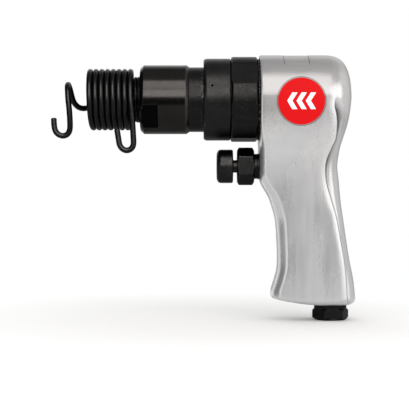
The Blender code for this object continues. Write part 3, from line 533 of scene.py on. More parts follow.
def cast_aluminium():
    """Sand-cast, then buffed: clouded, faintly wavy and with small pits. Shade is painted into its creases
    and into the hollow behind the crease.
    """
    recipe = Recipe("cast_aluminium", Metallic=0.75)
    clouds = recipe.noise(38.0, 3.0)
    height = recipe.node("SeparateXYZ", Vector=recipe.place).outputs["Z"]
    on_head = recipe.ramp(height, -0.006, 0.012)
    down_grip = recipe.noise(330.0, 4.0, stretch=(1.0, 1.0, 0.07), roughness=0.6)
    along_head = recipe.noise(330.0, 4.0, stretch=(0.07, 1.0, 1.0), roughness=0.6)
    head_streaks = recipe.math("MULTIPLY", along_head, on_head)
    grip_streaks = recipe.math("MULTIPLY", down_grip, recipe.math("SUBTRACT", 1.0, on_head))
    streaks = recipe.math("ADD", head_streaks, grip_streaks)
    patches = recipe.noise(42.0, 1.0, stretch=(1.0, 1.0, 0.45))
    grain = recipe.noise(2600.0, 2.0)
    waves = recipe.noise(95.0, 1.0)
    pits = recipe.ramp(recipe.cells(520.0), 0.06, 0.14)
    rare = recipe.ramp(recipe.noise(60.0, 2.0), 0.66, 0.74)
    pits = recipe.math("MAXIMUM", pits, recipe.math("SUBTRACT", 1.0, rare))
    # Painted shade: the colour darkens where ambient occlusion finds creases, and more in the hollow behind
    # the crease.
    occlusion = recipe.node("AmbientOcclusion", Distance=0.0045)
    occlusion.samples = 8
    shaded = recipe.ramp(occlusion.outputs["AO"], 0.45, 0.92, 0.8, 0.0)
    attribute = recipe.node("Attribute")
    attribute.attribute_name = HOLLOW_SHADE
    hollow = recipe.math("MAXIMUM", shaded, attribute.outputs["Fac"])
    tones = recipe.ramp(recipe.noise(17.0, 1.0), 0.40, 0.60)
    darker = recipe.blend(tones, (0.50, 0.502, 0.506), (0.520, 0.503, 0.497))
    lighter = recipe.blend(tones, (0.565, 0.567, 0.572), (0.595, 0.575, 0.568))
    colour = recipe.blend(clouds, darker, lighter)
    colour = recipe.blend(recipe.ramp(streaks, 0.35, 0.62, 0.26, 0.0), colour, (0.44, 0.44, 0.445))
    colour = recipe.blend(pits, (0.46, 0.455, 0.45), colour)
    # Painted shade in the creases and the hollow behind the crease.
    colour = recipe.blend(hollow, colour, (0.145, 0.14, 0.137))
    roughness = recipe.math(
        "ADD", recipe.ramp(patches, 0.35, 0.65, 0.19, 0.27), recipe.math("MULTIPLY", streaks, 0.11)
    )
    normal = recipe.bump(patches, 0.00065)
    normal = recipe.bump(waves, 0.00009, under=normal)
    normal = recipe.bump(streaks, 0.000022, under=normal)
    normal = recipe.bump(grain, 0.000022, under=normal)
    normal = recipe.bump(pits, 0.000015, under=normal)
    return recipe.done(colour, roughness, normal)


def black_oxide(name, colour, roughness, rings=0.0, wear=0.35, grain=0.00002):
    """Blackened steel. Wear is how bright its rubbed edges are, and rings the depth of its turning marks.
    Steel that is worn enough also has fine specks."""
    recipe = Recipe(name, Metallic=1.0, Specular_Tint=(0.55, 0.55, 0.55, 1.0))
    clouds = recipe.noise(90.0, 4.0)
    rubbed = recipe.ramp(recipe.node("NewGeometry").outputs["Pointiness"], 0.515, 0.56)
    scuffs = recipe.ramp(recipe.noise(700.0, 5.0, roughness=0.7), 0.50, 0.68)
    edge = recipe.math("MULTIPLY", recipe.math("MULTIPLY", rubbed, scuffs), wear)
    dark = tuple(0.8 * c for c in colour)
    light = tuple(1.25 * c for c in colour)
    tint = recipe.blend(edge, recipe.blend(clouds, dark, light), (0.30, 0.29, 0.28))
    if wear > SPECKLED_FROM:
        dots = recipe.ramp(recipe.cells(1000.0), 0.36, 0.22)
        areas = recipe.ramp(recipe.noise(260.0), 0.45, 0.62)
        specks = recipe.math("MULTIPLY", dots, areas)
        tint = recipe.blend(recipe.math("MULTIPLY", specks, wear), tint, (0.064, 0.062, 0.061))
    smears = recipe.noise(420.0, 4.0, roughness=0.65)
    shine = recipe.ramp(smears, 0.3, 0.7, roughness - 0.05, roughness + 0.06)
    normal = recipe.bump(recipe.noise(1900.0, 3.0), grain)
    if rings:
        turned = recipe.noise(2400.0, 1.0, stretch=(1.0, 0.002, 0.002))
        normal = recipe.bump(turned, rings, under=normal)
    return recipe.done(tint, shine, normal)


def ground_steel(name, colour, roughness):
    """Bare steel with a light oil film, for the pieces that run inside."""
    recipe = Recipe(name, Metallic=1.0)
    clouds = recipe.noise(120.0, 4.0)
    tint = recipe.blend(clouds, tuple(0.8 * c for c in colour), colour)
    marks = recipe.noise(2200.0, 2.0, stretch=(1.0, 0.02, 0.02))
    shine = recipe.ramp(clouds, 0.3, 0.7, roughness - 0.06, roughness + 0.08)
    return recipe.done(tint, shine, recipe.bump(marks, 0.000012))


def printed(name, colour, shade, roughness):
    """Ink under a clear satin film."""
    recipe = Recipe(name, Specular_IOR_Level=0.08)
    clouds = recipe.noise(140.0, 3.0)
    tint = recipe.blend(clouds, shade, colour)
    shine = recipe.ramp(recipe.noise(900.0, 3.0), 0.3, 0.7, roughness - 0.05, roughness + 0.05)
    return recipe.done(tint, shine, recipe.bump(recipe.noise(2500.0, 2.0), 0.000008))


def seal_rubber():
    recipe = Recipe("seal_rubber")
    clouds = recipe.noise(300.0, 3.0)
    tint = recipe.blend(clouds, (0.012, 0.012, 0.012), (0.028, 0.028, 0.027))
    return recipe.done(tint, recipe.ramp(clouds, 0.3, 0.7, 0.5, 0.7), recipe.bump(clouds, 0.00003))


def pale_floor():
    recipe = Recipe("pale_floor", Roughness=0.9, Specular_IOR_Level=0.1)
    spread = recipe.node("VectorMath", Vector=recipe.place)
    spread.operation = "LENGTH"
    # Painted shade: the floor is darker under the tool and lightens outwards, which also dims the floor that
    # the metal mirrors.
    outwards = recipe.ramp(spread.outputs["Value"], 0.08, FLOOR_RADIUS)
    tint = recipe.blend(outwards, (0.81, 0.805, 0.80), (0.93, 0.93, 0.93))
    return recipe.done(tint)


# ---- housing ----

def along_line(line, z):
    """The value at height z of a smooth curve through (z, value) stations listed from the top down."""
    if z >= line[0][0]:
        return line[0][1]
    if z <= line[-1][0]:
        return line[-1][1]
    i = next(k for k in range(len(line) - 1) if z >= line[k + 1][0])
    (z0, v0), (z1, v1) = line[i], line[i + 1]
    before, after = line[max(i - 1, 0)], line[min(i + 2, len(line) - 1)]
    span = z1 - z0
    leave = (v1 - before[1]) / (z1 - before[0]) * span
    arrive = (after[1] - v0) / (after[0] - z0) * span
    t = (z - z0) / span
    start = v0 * (2 * t**3 - 3 * t**2 + 1) + leave * (t**3 - 2 * t**2 + t)
    return start + v1 * (3 * t**2 - 2 * t**3) + arrive * (t**3 - t**2)


def housing_section(z):
    """(x, half-width) from the front middle to the back middle of the grip at height z. The strap behind
    the crease starts a step lower than the side panel and swells back towards it."""
    front, back = along_line(FRONT_LINE, z), along_line(BACK_LINE, z)
    crease, side = along_line(CREASE_LINE, z), along_line(SIDE_LINE, z)
    deep, wide = along_line(FRONT_ROUND_LINE, z), along_line(FRONT_WIDE_LINE, z)
    step = along_line(STEP_LINE, z)
    start = crease - (along_line(CREASE_LINE, 0.0) - DOME_START)
    dome_length = along_line(BACK_LINE, 0.0) - DOME_START
    drop = HEAD_RADIUS * (1 - (1 - ((crease - start) / dome_length) ** DOME_POWER) ** (1 / DOME_POWER))
    points = [(front, (side - wide) * part) for part in np.linspace(0.0, 1.0, 9)[:-1]]
    for angle in np.linspace(0.0, math.pi / 2, 15):
        points.append((front + deep * (1 - math.cos(angle)), side - wide + wide * math.sin(angle)))
    points += [(front + deep + (start - front - deep) * part, side) for part in np.linspace(0.0, 1.0, 20)[1:]]
    for part in np.linspace(0.0, 1.0, 9)[1:]:
        points.append((start + (crease - start) * part, side - drop * part**DOME_POWER))
    strap_start = crease + along_line(CREASE_WIDTH_LINE, z)
    first = math.asin(min(1.0, ((strap_start - start) / (back - start)) ** (DOME_POWER / 2)))
    strap = []
    for angle in np.linspace(first, math.pi / 2, 25):
        x = start + (back - start) * math.sin(angle) ** (2 / DOME_POWER)
        hollow = step * (STEP_AT_REAR + (1 - STEP_AT_REAR) * math.exp(-(x - strap_start) / STEP_FADE))
        y = (side - hollow) * max(0.0, math.cos(angle)) ** (2 / DOME_POWER)
        strap.append((x, y))
    (crest_x, crest_y), (foot_x, foot_y) = points[-1], strap[0]
    for part in (0.12, 0.3, 0.5, 0.75):
        fallen = 1 - (1 - part) ** 2
        points.append((crest_x + (foot_x - crest_x) * part, crest_y + (foot_y - crest_y) * fallen))
    points += strap
    points[-1] = (points[-1][0], 0.0)
    return points


def foot_height(x):
    """The grip's lower face, which rises towards the front."""
    reach = min(1.0, max(0.0, (x - FOOT_SLOPE_X[0]) / (FOOT_SLOPE_X[1] - FOOT_SLOPE_X[0])))
    return FOOT_Z + FOOT_RISE * (1 - reach) ** 2


def housing_rows():
    """The -Y half of the casting, as rows of points from the top down."""
    turned_outline = housing_section(0.0)
    rows = []
    for angle in np.linspace(math.pi / 2, 0.0, 37)[:-1]:
        y_share = 0.0 if not rows else math.cos(angle)
        rows.append([(x, -r * y_share, r * math.sin(angle)) for x, r in turned_outline])
    for z in np.linspace(0.0, FOOT_BLEND_Z, 100):
        rows.append([(x, -y, z) for x, y in housing_section(z)])
    for part in np.linspace(0.0, 0.62, 7)[1:]:
        row = housing_section(FOOT_BLEND_Z + (FOOT_Z - FOOT_BLEND_Z) * part)
        rows.append([(x, -y, FOOT_BLEND_Z + (foot_height(x) - FOOT_BLEND_Z) * part) for x, y in row])
    outline = housing_section(FOOT_Z)
    first, last = outline[0][0], outline[-1][0]
    middle, half_length = (first + last) / 2, (last - first) / 2
    widest = max(y for _, y in outline)

    def foot_rim(x, y, angle):
        """A point of the foot's rounded rim, from its side at angle 0 to its lower face at a right angle."""
        front_radius, rear_radius = FOOT_RIM_RADII
        radius = front_radius + (rear_radius - front_radius) * (x - first) / (last - first)
        inset = radius * (1 - math.cos(angle))
        new_x = middle + (x - middle) * (1 - inset / half_length)
        return new_x, -y * (1 - inset / widest), foot_height(x) + radius * (1 - math.sin(angle))

    for angle in np.linspace(0.0, math.pi / 2, 9):
        rows.append([foot_rim(x, y, angle) for x, y in outline])
    rim = np.array(rows[-1])
    spread = np.array([foot_rim(x, 0.0, math.pi / 2) for x in np.linspace(first, last, len(outline))])
    for part in np.linspace(0.0, 1.0, 7)[1:]:
        rows.append((rim * (1 - part) + spread * part).tolist())
    return rows


def side_half_width(z):
    if z > 0.0:
        return math.sqrt(HEAD_RADIUS**2 - z**2)
    return along_line(SIDE_LINE, z)


def laid(x, z, proud):
    """A point this far outside the housing's left side."""
    return (x, -side_half_width(z) - proud, z)


def laid_disc(name, radius, proud, depth, rim=0.0):
    """A disc that follows the housing's side, with a rim rounded by the given size."""
    face = [(radius * part, proud) for part in (0.0, 0.2, 0.4, 0.6, 0.8, 0.94)]
    edge = [(radius - rim, proud), (radius - 0.3 * rim, proud - 0.3 * rim), (radius, proud - rim)]
    back = [(r, proud - depth) for r in (radius, 0.8 * radius, 0.5 * radius, 0.25 * radius, 0.0)]
    turn = [math.tau * i / 120 for i in range(120)]
    rows = []
    for r, out in face + edge + back:
        rows.append([laid(BADGE_X + r * math.cos(a), BADGE_Z + r * math.sin(a), out) for a in turn])
    return mesh_of_grid(name, np.array(rows), wrap_columns=True)


def laid_plate(name, rows, proud, depth, wrap=False):
    """A thin plate that follows the housing's side, from rows of (x, z) points."""
    loops = []
    for row in rows:
        face = [laid(x, z, proud) for x, z in row]
        back = [laid(x, z, proud - depth) for x, z in reversed(row)]
        loops.append(face + back)
    if not wrap:
        for end in (0, -1):
            flat = [laid(x, z, proud) for x, z in rows[end]]
            loops.insert(0 if end == 0 else len(loops), flat + flat[::-1])
    return mesh_of_grid(name, np.array(loops), wrap_rows=wrap, wrap_columns=True)


def recess_cutter():
    """The block above a shallow rectangle with rounded corners on top of the head."""
    front, rear = RECESS_X
    half_arc = RECESS_HALF_ANGLE * HEAD_RADIUS
    outline = []
    corners = ((rear, half_arc, 0), (front, half_arc, 90), (front, -half_arc, 180), (rear, -half_arc, 270))
    for x, s, turned in corners:
        middle_x = x - math.copysign(RECESS_CORNER, x - (front + rear) / 2)
        middle_s = s - math.copysign(RECESS_CORNER, s)
        for i in range(9):
            a = math.radians(turned + 90 * i / 8)
            outline.append((middle_x + RECESS_CORNER * math.cos(a), middle_s + RECESS_CORNER * math.sin(a)))
    dense = []
    for (x0, s0), (x1, s1) in zip(outline, outline[1:] + outline[:1]):
        steps = max(1, math.ceil(abs(s1 - s0) / 0.0012))
        dense += [(x0 + (x1 - x0) * i / steps, s0 + (s1 - s0) * i / steps) for i in range(steps)]
    middle_x = (front + rear) / 2
    rows = []
    floor = [(share, -RECESS_DEPTH) for share in (0.0, 0.15, 0.3, 0.45, 0.6, 0.75, 0.85, 0.93)]
    lid = [(share, 0.002) for share in (1.0, 0.8, 0.6, 0.4, 0.2, 0.0)]
    for share, height in floor + [(0.96, -2.4 * RECESS_DEPTH), (0.99, 0.0001)] + lid:
        radius = HEAD_RADIUS + height
        rows.append([
            (middle_x + (x - middle_x) * share, radius * math.sin(s / HEAD_RADIUS * share),
             radius * math.cos(s / HEAD_RADIUS * share))
            for x, s in dense
        ])
    return mesh_of_grid("top_recess", np.array(rows), wrap_columns=True)


def mark_hollow_shade(mesh):
    """Stores on each point how far it is into the hollow behind the crease, which sets how much shade is
    painted there.
    """
    layer = mesh.attributes.new(HOLLOW_SHADE, "FLOAT", "POINT")
    deepest = max(step for _, step in STEP_LINE)
    for value, vertex in zip(layer.data, mesh.vertices):
        x, y, z = vertex.co
        behind = x - along_line(CREASE_LINE, z)
        if z > 0.0 or behind < 0.0 or abs(y) < 0.004:
            continue
        width = along_line(CREASE_WIDTH_LINE, z)
        fade = math.exp(-max(0.0, behind - 0.8 * width) / (1.3 * width))
        value.value = min(1.0, along_line(STEP_LINE, z) / deepest * 1.25) * min(1.0, behind / 0.0004) * fade


def build_housing(aluminium):
    rows = housing_rows()
    loops = [half + [(x, -y, z) for x, y, z in reversed(half[1:-1])] for half in rows]
    casting = mesh_of_grid("housing", np.array(loops), wrap_columns=True)
    head_bore = BARREL_SHANK_RADIUS + GAP
    narrow = head_bore - 0.0015

    def mouth(bore):
        """The chamfered front end of a bore's cutter, which runs out past the front face."""
        return [(0.0006, bore), (-0.0006, bore + BORE_MOUTH), (-0.005, bore + BORE_MOUTH), (-0.005, 0.0)]

    barrel_bore = lathe("barrel_bore", [
        (HEAD_BORE_REAR, 0.0), (HEAD_BORE_REAR, narrow), (HEAD_BORE_STEP_X, narrow),
        (HEAD_BORE_STEP_X, head_bore),
    ] + mouth(head_bore), longest=0.1, steps=96)
    bushing_bore = BUSHING_RADIUS + GAP
    throttle_bore = lathe("throttle_bore", [
        (CHAMBER_REAR, 0.0), (CHAMBER_REAR, CHAMBER_RADIUS), (CHAMBER_FRONT, CHAMBER_RADIUS),
        (CHAMBER_FRONT, bushing_bore),
    ] + mouth(bushing_bore), centre=(0.0, 0.0, TRIGGER_Z), longest=0.1, steps=72)
    inlet_bore = INLET_SHANK_RADIUS + GAP
    inlet_hole = lathe("inlet_hole", [
        (INLET_BORE_TOP, 0.0), (INLET_BORE_TOP, inlet_bore), (FOOT_Z + 0.0008, inlet_bore),
        (FOOT_Z - 0.0004, inlet_bore + BORE_MOUTH), (-0.140, inlet_bore + BORE_MOUTH), (-0.140, 0.0),
    ], axis="Z", centre=(INLET_X, 0.0, 0.0), longest=0.1, steps=72)
    passage = rods("handle_passage", [(PASSAGE_LOWER, PASSAGE_UPPER, PASSAGE_RADIUS)])
    pocket = laid_disc("badge_pocket", BADGE_RADIUS + GAP, 0.003, 0.003 + BADGE_THICKNESS)
    casting = cut_away(casting, barrel_bore, throttle_bore, inlet_hole, passage, pocket, recess_cutter())
    mark_hollow_shade(casting)
    add_piece("housing_casting", smoothed(casting), "housing", aluminium)


def build_badge(red, white, rim_metal):
    """A plain red disc with three white chevrons that point at the muzzle."""
    proud = 0.00009
    disc = laid_disc("badge_disc", BADGE_RADIUS, proud, BADGE_THICKNESS - 0.0002, rim=0.00012)
    add_piece("badge_disc", smoothed(disc), "badge", red)
    rows = []
    for i in range(160):
        a = math.tau * i / 160
        radii = (BADGE_RADIUS - 0.00045, BADGE_RADIUS - 0.00002)
        rows.append([(BADGE_X + r * math.cos(a), BADGE_Z + r * math.sin(a)) for r in radii])
    rim = laid_plate("badge_rim", rows, proud + 0.00005, 0.00016, wrap=True)
    add_piece("badge_rim", smoothed(rim), "badge", rim_metal, stands_for_it=False)
    chevron_height, chevron_width, slope, pitch = 0.0104, 0.0032, 0.62, 0.0058
    for number in range(3):
        tip = BADGE_X - 0.0090 + pitch * number
        rows = []
        for z in np.linspace(-chevron_height / 2, chevron_height / 2, 25):
            x = tip + slope * abs(z)
            rows.append([(x, BADGE_Z + z), (x + chevron_width, BADGE_Z + z)])
        name = f"badge_chevron_{number + 1}"
        plate = laid_plate(name, rows, proud + 0.00002, 0.00012)
        add_piece(name, smoothed(plate), "badge", white, stands_for_it=False)


# ---- barrel ----

def paint_barrel(mesh):
    """Material slots: 0 nose, waist and nut, 1 muzzle, 2 wrench flats, painted near-black as painted shade, 3
    the muzzle's worn rear edge.
    """
    flat_normal = Vector((0.0, math.cos(WRENCH_FLAT_TILT), math.sin(WRENCH_FLAT_TILT)))
    for face in mesh.polygons:
        x = face.center.x
        if not MUZZLE_FRONT - 0.00001 <= x <= MUZZLE_REAR + 0.00001:
            face.material_index = 0
        elif x > MUZZLE_REAR - WORN_WIDTH:
            face.material_index = 3
        # The wrench flats get a near-black material, which is painted shade.
        elif x < WRENCH_FLAT_END and abs(face.normal.dot(flat_normal)) > 0.9995:
            face.material_index = 2
        else:
            face.material_index = 1


def build_cylinder(matte_black, muzzle_black, flat_black, worn_black):
    groove_front, groove_rear = SNAP_GROOVE
    nut_edge = 0.0009
    barrel = lathe("cylinder", [
        (BARREL_REAR, 0.0159), (BARREL_REAR - 0.0008, BARREL_SHANK_RADIUS), (NUT_REAR, BARREL_SHANK_RADIUS),
        (NUT_REAR, NUT_RADIUS - nut_edge, 0.0002), (NUT_REAR - nut_edge, NUT_RADIUS, 0.0003),
        (NUT_FRONT + nut_edge, NUT_RADIUS, 0.0003), (NUT_FRONT, NUT_RADIUS - nut_edge, 0.0002),
        (NUT_FRONT, LAND_RADIUS), (LAND_FRONT, LAND_RADIUS, 0.0003), (LAND_FRONT, WAIST_RADIUS),
        (groove_rear, WAIST_RADIUS), (groove_rear, SNAP_GROOVE_RADIUS),
        (groove_front, SNAP_GROOVE_RADIUS), (groove_front, WAIST_RADIUS),
        (MUZZLE_REAR, WAIST_RADIUS, 0.0004), (MUZZLE_REAR, MUZZLE_RADIUS - 0.0010, 0.0002),
        (MUZZLE_REAR - 0.0016, MUZZLE_RADIUS, 0.0005),
        (WRENCH_FLAT_END + 0.00004, MUZZLE_RADIUS), (WRENCH_FLAT_END, MUZZLE_RADIUS),
        (MUZZLE_FRONT + 0.0022, MUZZLE_RADIUS, 0.0004), (MUZZLE_FRONT, MUZZLE_RADIUS - 0.0020, 0.0003),
        (MUZZLE_FRONT, NOSE_RADIUS - 0.0002), (NOSE_THREAD[1] + 0.0005, NOSE_RADIUS - 0.0002),
    ] + nose_line() + [
        (NOSE_FRONT + 0.001, NOSE_RADIUS, 0.0002), (NOSE_FRONT, NOSE_RADIUS - 0.001, 0.0002),
        (NOSE_FRONT, SHANK_HOLE_RADIUS + 0.0008, 0.0002), (NOSE_FRONT + 0.0008, SHANK_HOLE_RADIUS, 0.0002),
        (BORE_FRONT, SHANK_HOLE_RADIUS), (BORE_FRONT, BORE_RADIUS), (BARREL_REAR, BORE_RADIUS),
    ], start=NUT_CORNER_TILT, carve=(
        six_flats(NUT_ACROSS_FLATS, NUT_CORNER_TILT, NUT_FRONT - 0.0001, NUT_REAR + 0.0001),
        flats_across(MUZZLE_RADIUS - WRENCH_FLAT_DEPTH, WRENCH_FLAT_TILT, MUZZLE_FRONT, WRENCH_FLAT_END),
        thread(THREAD_PITCH, THREAD_DEPTH, *NOSE_THREAD, NOSE_RADIUS - 0.0004, NOSE_RADIUS + 0.0001),
    ))
    smoothed(barrel, 12)
    add_piece("barrel", barrel, "cylinder", matte_black, muzzle_black, flat_black, worn_black)
    paint_barrel(barrel)


def nose_line():
    """Closely spaced points along the nose, for its thread."""
    near, far = NOSE_THREAD
    count = round((far - near) / (THREAD_PITCH / 10))
    return [(far - (far - near) * i / count, NOSE_RADIUS) for i in range(count + 1)]


def build_collar(collar_black, wire_black):
    collar = lathe("exhaust_deflector", [
        (COLLAR_REAR, COLLAR_BORE_RADIUS, 0.0002), (COLLAR_REAR, COLLAR_RADIUS - 0.0006, 0.0002),
        (COLLAR_REAR - 0.0006, COLLAR_RADIUS, 0.0003), (COLLAR_FRONT + 0.0019, COLLAR_RADIUS, 0.0005),
        (COLLAR_FRONT + 0.0006, COLLAR_RADIUS - 0.0005, 0.0003),
        (COLLAR_FRONT, COLLAR_RADIUS - 0.0012, 0.0003), (COLLAR_FRONT, COUNTERBORE_RADIUS, 0.0002),
        (COUNTERBORE_REAR, COUNTERBORE_RADIUS), (COUNTERBORE_REAR, COLLAR_BORE_RADIUS),
    ])
    drills = [(math.pi - VENT_TILT, VENT_X, VENT_RADIUS)]
    drills += [(math.radians(angle), OUTLET_X, OUTLET_RADIUS) for angle in OUTLET_ANGLES]
    holes = [(around(DRILL_FROM, angle, x), around(DRILL_TO, angle, x), size) for angle, x, size in drills]
    collar = cut_away(collar, rods("collar_holes", holes))
    add_piece("exhaust_collar", smoothed(collar), "exhaust_deflector", collar_black)
    low, high = design_box("lock_ring")
    outer = high.z - 0.00005

    def notches(along, radius, angle):
        notch = np.clip(np.cos(angle * LOCK_RING_NOTCHES) * 3.0, -1.0, 1.0) * 0.5 + 0.5
        return np.where(radius > outer - 0.0004, radius - 0.0006 * notch, radius)

    ring = lathe("lock_ring", [
        (high.x, LOCK_RING_BORE), (high.x, outer, 0.0001), (low.x, outer, 0.0001), (low.x, LOCK_RING_BORE),
    ], carve=(notches,), steps=432)
    add_piece("lock_washer", smoothed(ring), "lock_ring", wire_black)


# ---- throttle and inlet ----

def build_throttle(matte_black, button_black):
    on_axis = (0.0, 0.0, TRIGGER_Z)
    front, rear = BUTTON_LOW.x, BUTTON_HIGH.x
    stem_bore = STEM_RADIUS + GAP
    button = lathe("trigger_button", [
        (BUTTON_SOCKET_X, 0.0), (BUTTON_SOCKET_X, stem_bore), (rear, stem_bore, 0.0002),
        (rear, BUTTON_RADIUS - 0.0007, 0.0002), (rear - 0.0006, BUTTON_RADIUS, 0.0003),
        (front + 0.0024, BUTTON_RADIUS, 0.0006), (front + 0.0010, BUTTON_RADIUS - 0.0006, 0.0004),
        (front, BUTTON_RADIUS - 0.0026, 0.0009), (front, DIMPLE_RADIUS),
        (front + DIMPLE_DEPTH, DIMPLE_RADIUS - 0.0006), (front + DIMPLE_DEPTH, 0.0),
    ], centre=on_axis, steps=120, longest=0.0012)
    add_piece("throttle_button", smoothed(button), "trigger_button", button_black)
    low, high = design_box("trigger_stem")
    stem = lathe("trigger_stem", [
        (high.x, 0.0), (high.x, 0.0028, 0.0003), (0.0020, 0.0028), (0.0010, STEM_RADIUS),
        (low.x + 0.0004, STEM_RADIUS), (low.x, STEM_RADIUS - 0.0004), (low.x, 0.0),
    ], centre=on_axis, steps=72)
    add_piece("throttle_stem", smoothed(stem), "trigger_stem", button_black)
    corner = THROTTLE_ACROSS_FLATS / 2 / math.cos(math.radians(30)) - 0.0001
    hexagon = six_flats(THROTTLE_ACROSS_FLATS, math.radians(30), HEX_FRONT - 0.001, HEX_REAR + 0.0001)
    bushing = lathe("throttle_bushing", [
        (BUSHING_REAR, SEAT_BORE_RADIUS), (BUSHING_REAR, BUSHING_RADIUS - 0.0005),
        (BUSHING_REAR - 0.0005, BUSHING_RADIUS), (-0.0009, BUSHING_RADIUS),
        (-0.0012, BUSHING_RADIUS - 0.0002), (HEX_REAR + 0.0002, BUSHING_RADIUS - 0.0002),
        (HEX_REAR + 0.0002, BUSHING_RADIUS),
        (HEX_REAR, corner - 0.0018, 0.0002), (HEX_REAR - 0.0011, corner, 0.0003),
        (HEX_FRONT + 0.0011, corner, 0.0003), (HEX_FRONT, corner - 0.0018, 0.0003),
        (HEX_FRONT, stem_bore + 0.0004, 0.0001), (HEX_FRONT + 0.0004, stem_bore, 0.0001),
        (0.0010, stem_bore), (0.0010, SEAT_BORE_RADIUS),
    ], centre=on_axis, carve=(hexagon,), start=math.radians(30), longest=0.0011)
    add_piece("throttle_hex", smoothed(bushing, 24), "throttle_bushing", matte_black)


def build_throttle_spring(steel):
    """The spring behind the poppet, a copy of its CAD mesh. On the tool it shortens from its front end as the
    button goes in.
    """
    wire = frame["nodes"]["throttle_spring"].data.copy()
    wire.transform(Matrix.Translation(-ORIGIN))
    spring = add_piece("poppet_spring", smoothed(wire, 60), "throttle_spring", steel)
    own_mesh(spring)


def build_inlet(matte_black):
    corner = INLET_ACROSS_FLATS / 2 / math.cos(math.radians(30)) - 0.0001
    mouth = INLET_BORE_RADIUS + 0.0006
    foot, top = INLET_LOW.z, INLET_HIGH.z
    hexagon = six_flats(INLET_ACROSS_FLATS, INLET_HEX_TURN, foot - 0.001, INLET_HEX_TOP + 0.0001)
    screw = thread(PIPE_THREAD_PITCH, 0.0005, foot + 0.0012, -0.122, 0.0055, mouth + 0.0001)
    bore = [
        (foot + 0.0012 + i * PIPE_THREAD_PITCH / 8, INLET_BORE_RADIUS + 0.0005)
        for i in range(int(0.0150 / (PIPE_THREAD_PITCH / 8)))
    ]
    bushing = lathe("inlet_bushing", [
        (top, INLET_BORE_RADIUS), (top, INLET_SHANK_RADIUS - 0.0006), (top - 0.0006, INLET_SHANK_RADIUS),
        (INLET_NECK_TOP, INLET_SHANK_RADIUS), (INLET_NECK_TOP, INLET_NECK_RADIUS, 0.0002),
        (INLET_HEX_TOP, INLET_NECK_RADIUS, 0.0002), (INLET_HEX_TOP - 0.0013, corner, 0.0003),
        (foot + 0.0015, corner, 0.0004), (foot, corner - 0.0024, 0.0003),
        (foot, mouth + 0.0008, 0.0002), (foot + 0.0009, mouth - 0.0001),
    ] + bore, axis="Z", centre=(INLET_X, 0.0, 0.0), carve=(hexagon, screw), start=INLET_HEX_TURN,
        longest=0.0011)
    add_piece("inlet_hex", smoothed(bushing, 24), "inlet_bushing", matte_black)


# ---- retainer ----

def smooth_route(points):
    """Points read from a smooth curve through the given ones."""
    points = [Vector(p) for p in points]
    ends = [points[0] * 2 - points[1]] + points + [points[-1] * 2 - points[-2]]
    route = []
    for a, b, c, d in zip(ends, ends[1:], ends[2:], ends[3:]):
        count = max(1, round((c - b).length / WIRE_POINT_SPACING))
        for i in range(count):
            t = i / count
            bend = 2 * a - 5 * b + 4 * c - d
            twist = 3 * b - a - 3 * c + d
            route.append(0.5 * (2 * b + (c - a) * t + bend * t**2 + twist * t**3))
    return route + [points[-1]]


def build_retainer(wire_black):
    count = round((COIL_TURNS - COIL_START / math.tau) * COIL_POINTS_PER_TURN)
    coil = []
    for i in range(count + 1):
        angle = COIL_START + (COIL_TURNS * math.tau - COIL_START) * i / count
        x = COIL_FIRST_TOP + COIL_PITCH * angle / math.tau
        coil.append(Vector((x, -COIL_RADIUS * math.sin(angle), COIL_RADIUS * math.cos(angle))))
    hook = smooth_route([coil[4], coil[0], *HOOK_ROUTE])
    hook = [p for p in hook if p.x < coil[0].x - 0.0006]
    loop = smooth_route([coil[-5], coil[-1], *LOOP_ROUTE])
    loop = [p for p in loop if p.z < coil[-1].z - 0.0006]
    route = hook[::-1] + coil + loop
    curve = bpy.data.curves.new("retainer", "CURVE")
    curve.dimensions = "3D"
    curve.bevel_depth = WIRE_RADIUS
    curve.bevel_resolution = 8
    curve.use_fill_caps = True
    spline = curve.splines.new("POLY")
    spline.points.add(len(route) - 1)
    for point, place in zip(spline.points, route):
        point.co = (*place, 1.0)
    for end in (0, -1):
        spline.points[end].radius = 0.72
    wire_pieces.objects.link(add_piece("coil_retainer", curve, "retainer_spring", wire_black))


# ---- inner pieces, which keep their CAD meshes ----

def finish_inner_nodes(steel, screen, rubber, wire_black):
    finishes = {
        "bright_steel": steel,
        "screen_steel": screen,
        "seal_rubber": rubber,
        "black_spring_steel": wire_black,
    }
    for name, node in frame["nodes"].items():
        if not node.hide_render:
            node.data.materials.clear()
            node.data.materials.append(finishes[SLOT_OF[name]])


# ---- stage ----

def build_floor():
    mesh = bpy.data.meshes.new("floor")
    bm = bmesh.new()
    bmesh.ops.create_circle(bm, cap_ends=True, segments=96, radius=FLOOR_RADIUS)
    bm.to_mesh(mesh)
    bm.free()
    mesh.materials.append(pale_floor())
    floor = bpy.data.objects.new("floor", mesh)
    floor.location.z = CAD_BOX[0].z - 0.0001
    bpy.context.scene.collection.objects.link(floor)


def build_lights():
    target = (CAD_BOX[0] + CAD_BOX[1]) / 2
    for name, azimuth, elevation, width, height, radiance, colour in SOFTBOXES + STEEL_SOFTBOXES:
        light = bpy.data.lights.new(name, "AREA")
        light.shape = "RECTANGLE"
        light.size, light.size_y = width, height
        light.energy = radiance * math.pi * width * height
        light.color = colour
        lamp = bpy.data.objects.new(name, light)
        a, e = math.radians(azimuth), math.radians(elevation)
        away = Vector((math.sin(a) * math.cos(e), -math.cos(a) * math.cos(e), math.sin(e)))
        lamp.location = target + away * SOFTBOX_DISTANCE
        lamp.rotation_mode = "QUATERNION"
        lamp.rotation_quaternion = away.to_track_quat("Z", "Y")
        lamp.visible_camera = False
        if name.startswith("steel"):
            lamp.light_linking.receiver_collection = black_pieces
        elif name == "wire_box":
            lamp.light_linking.receiver_collection = wire_pieces
        bpy.context.scene.collection.objects.link(lamp)


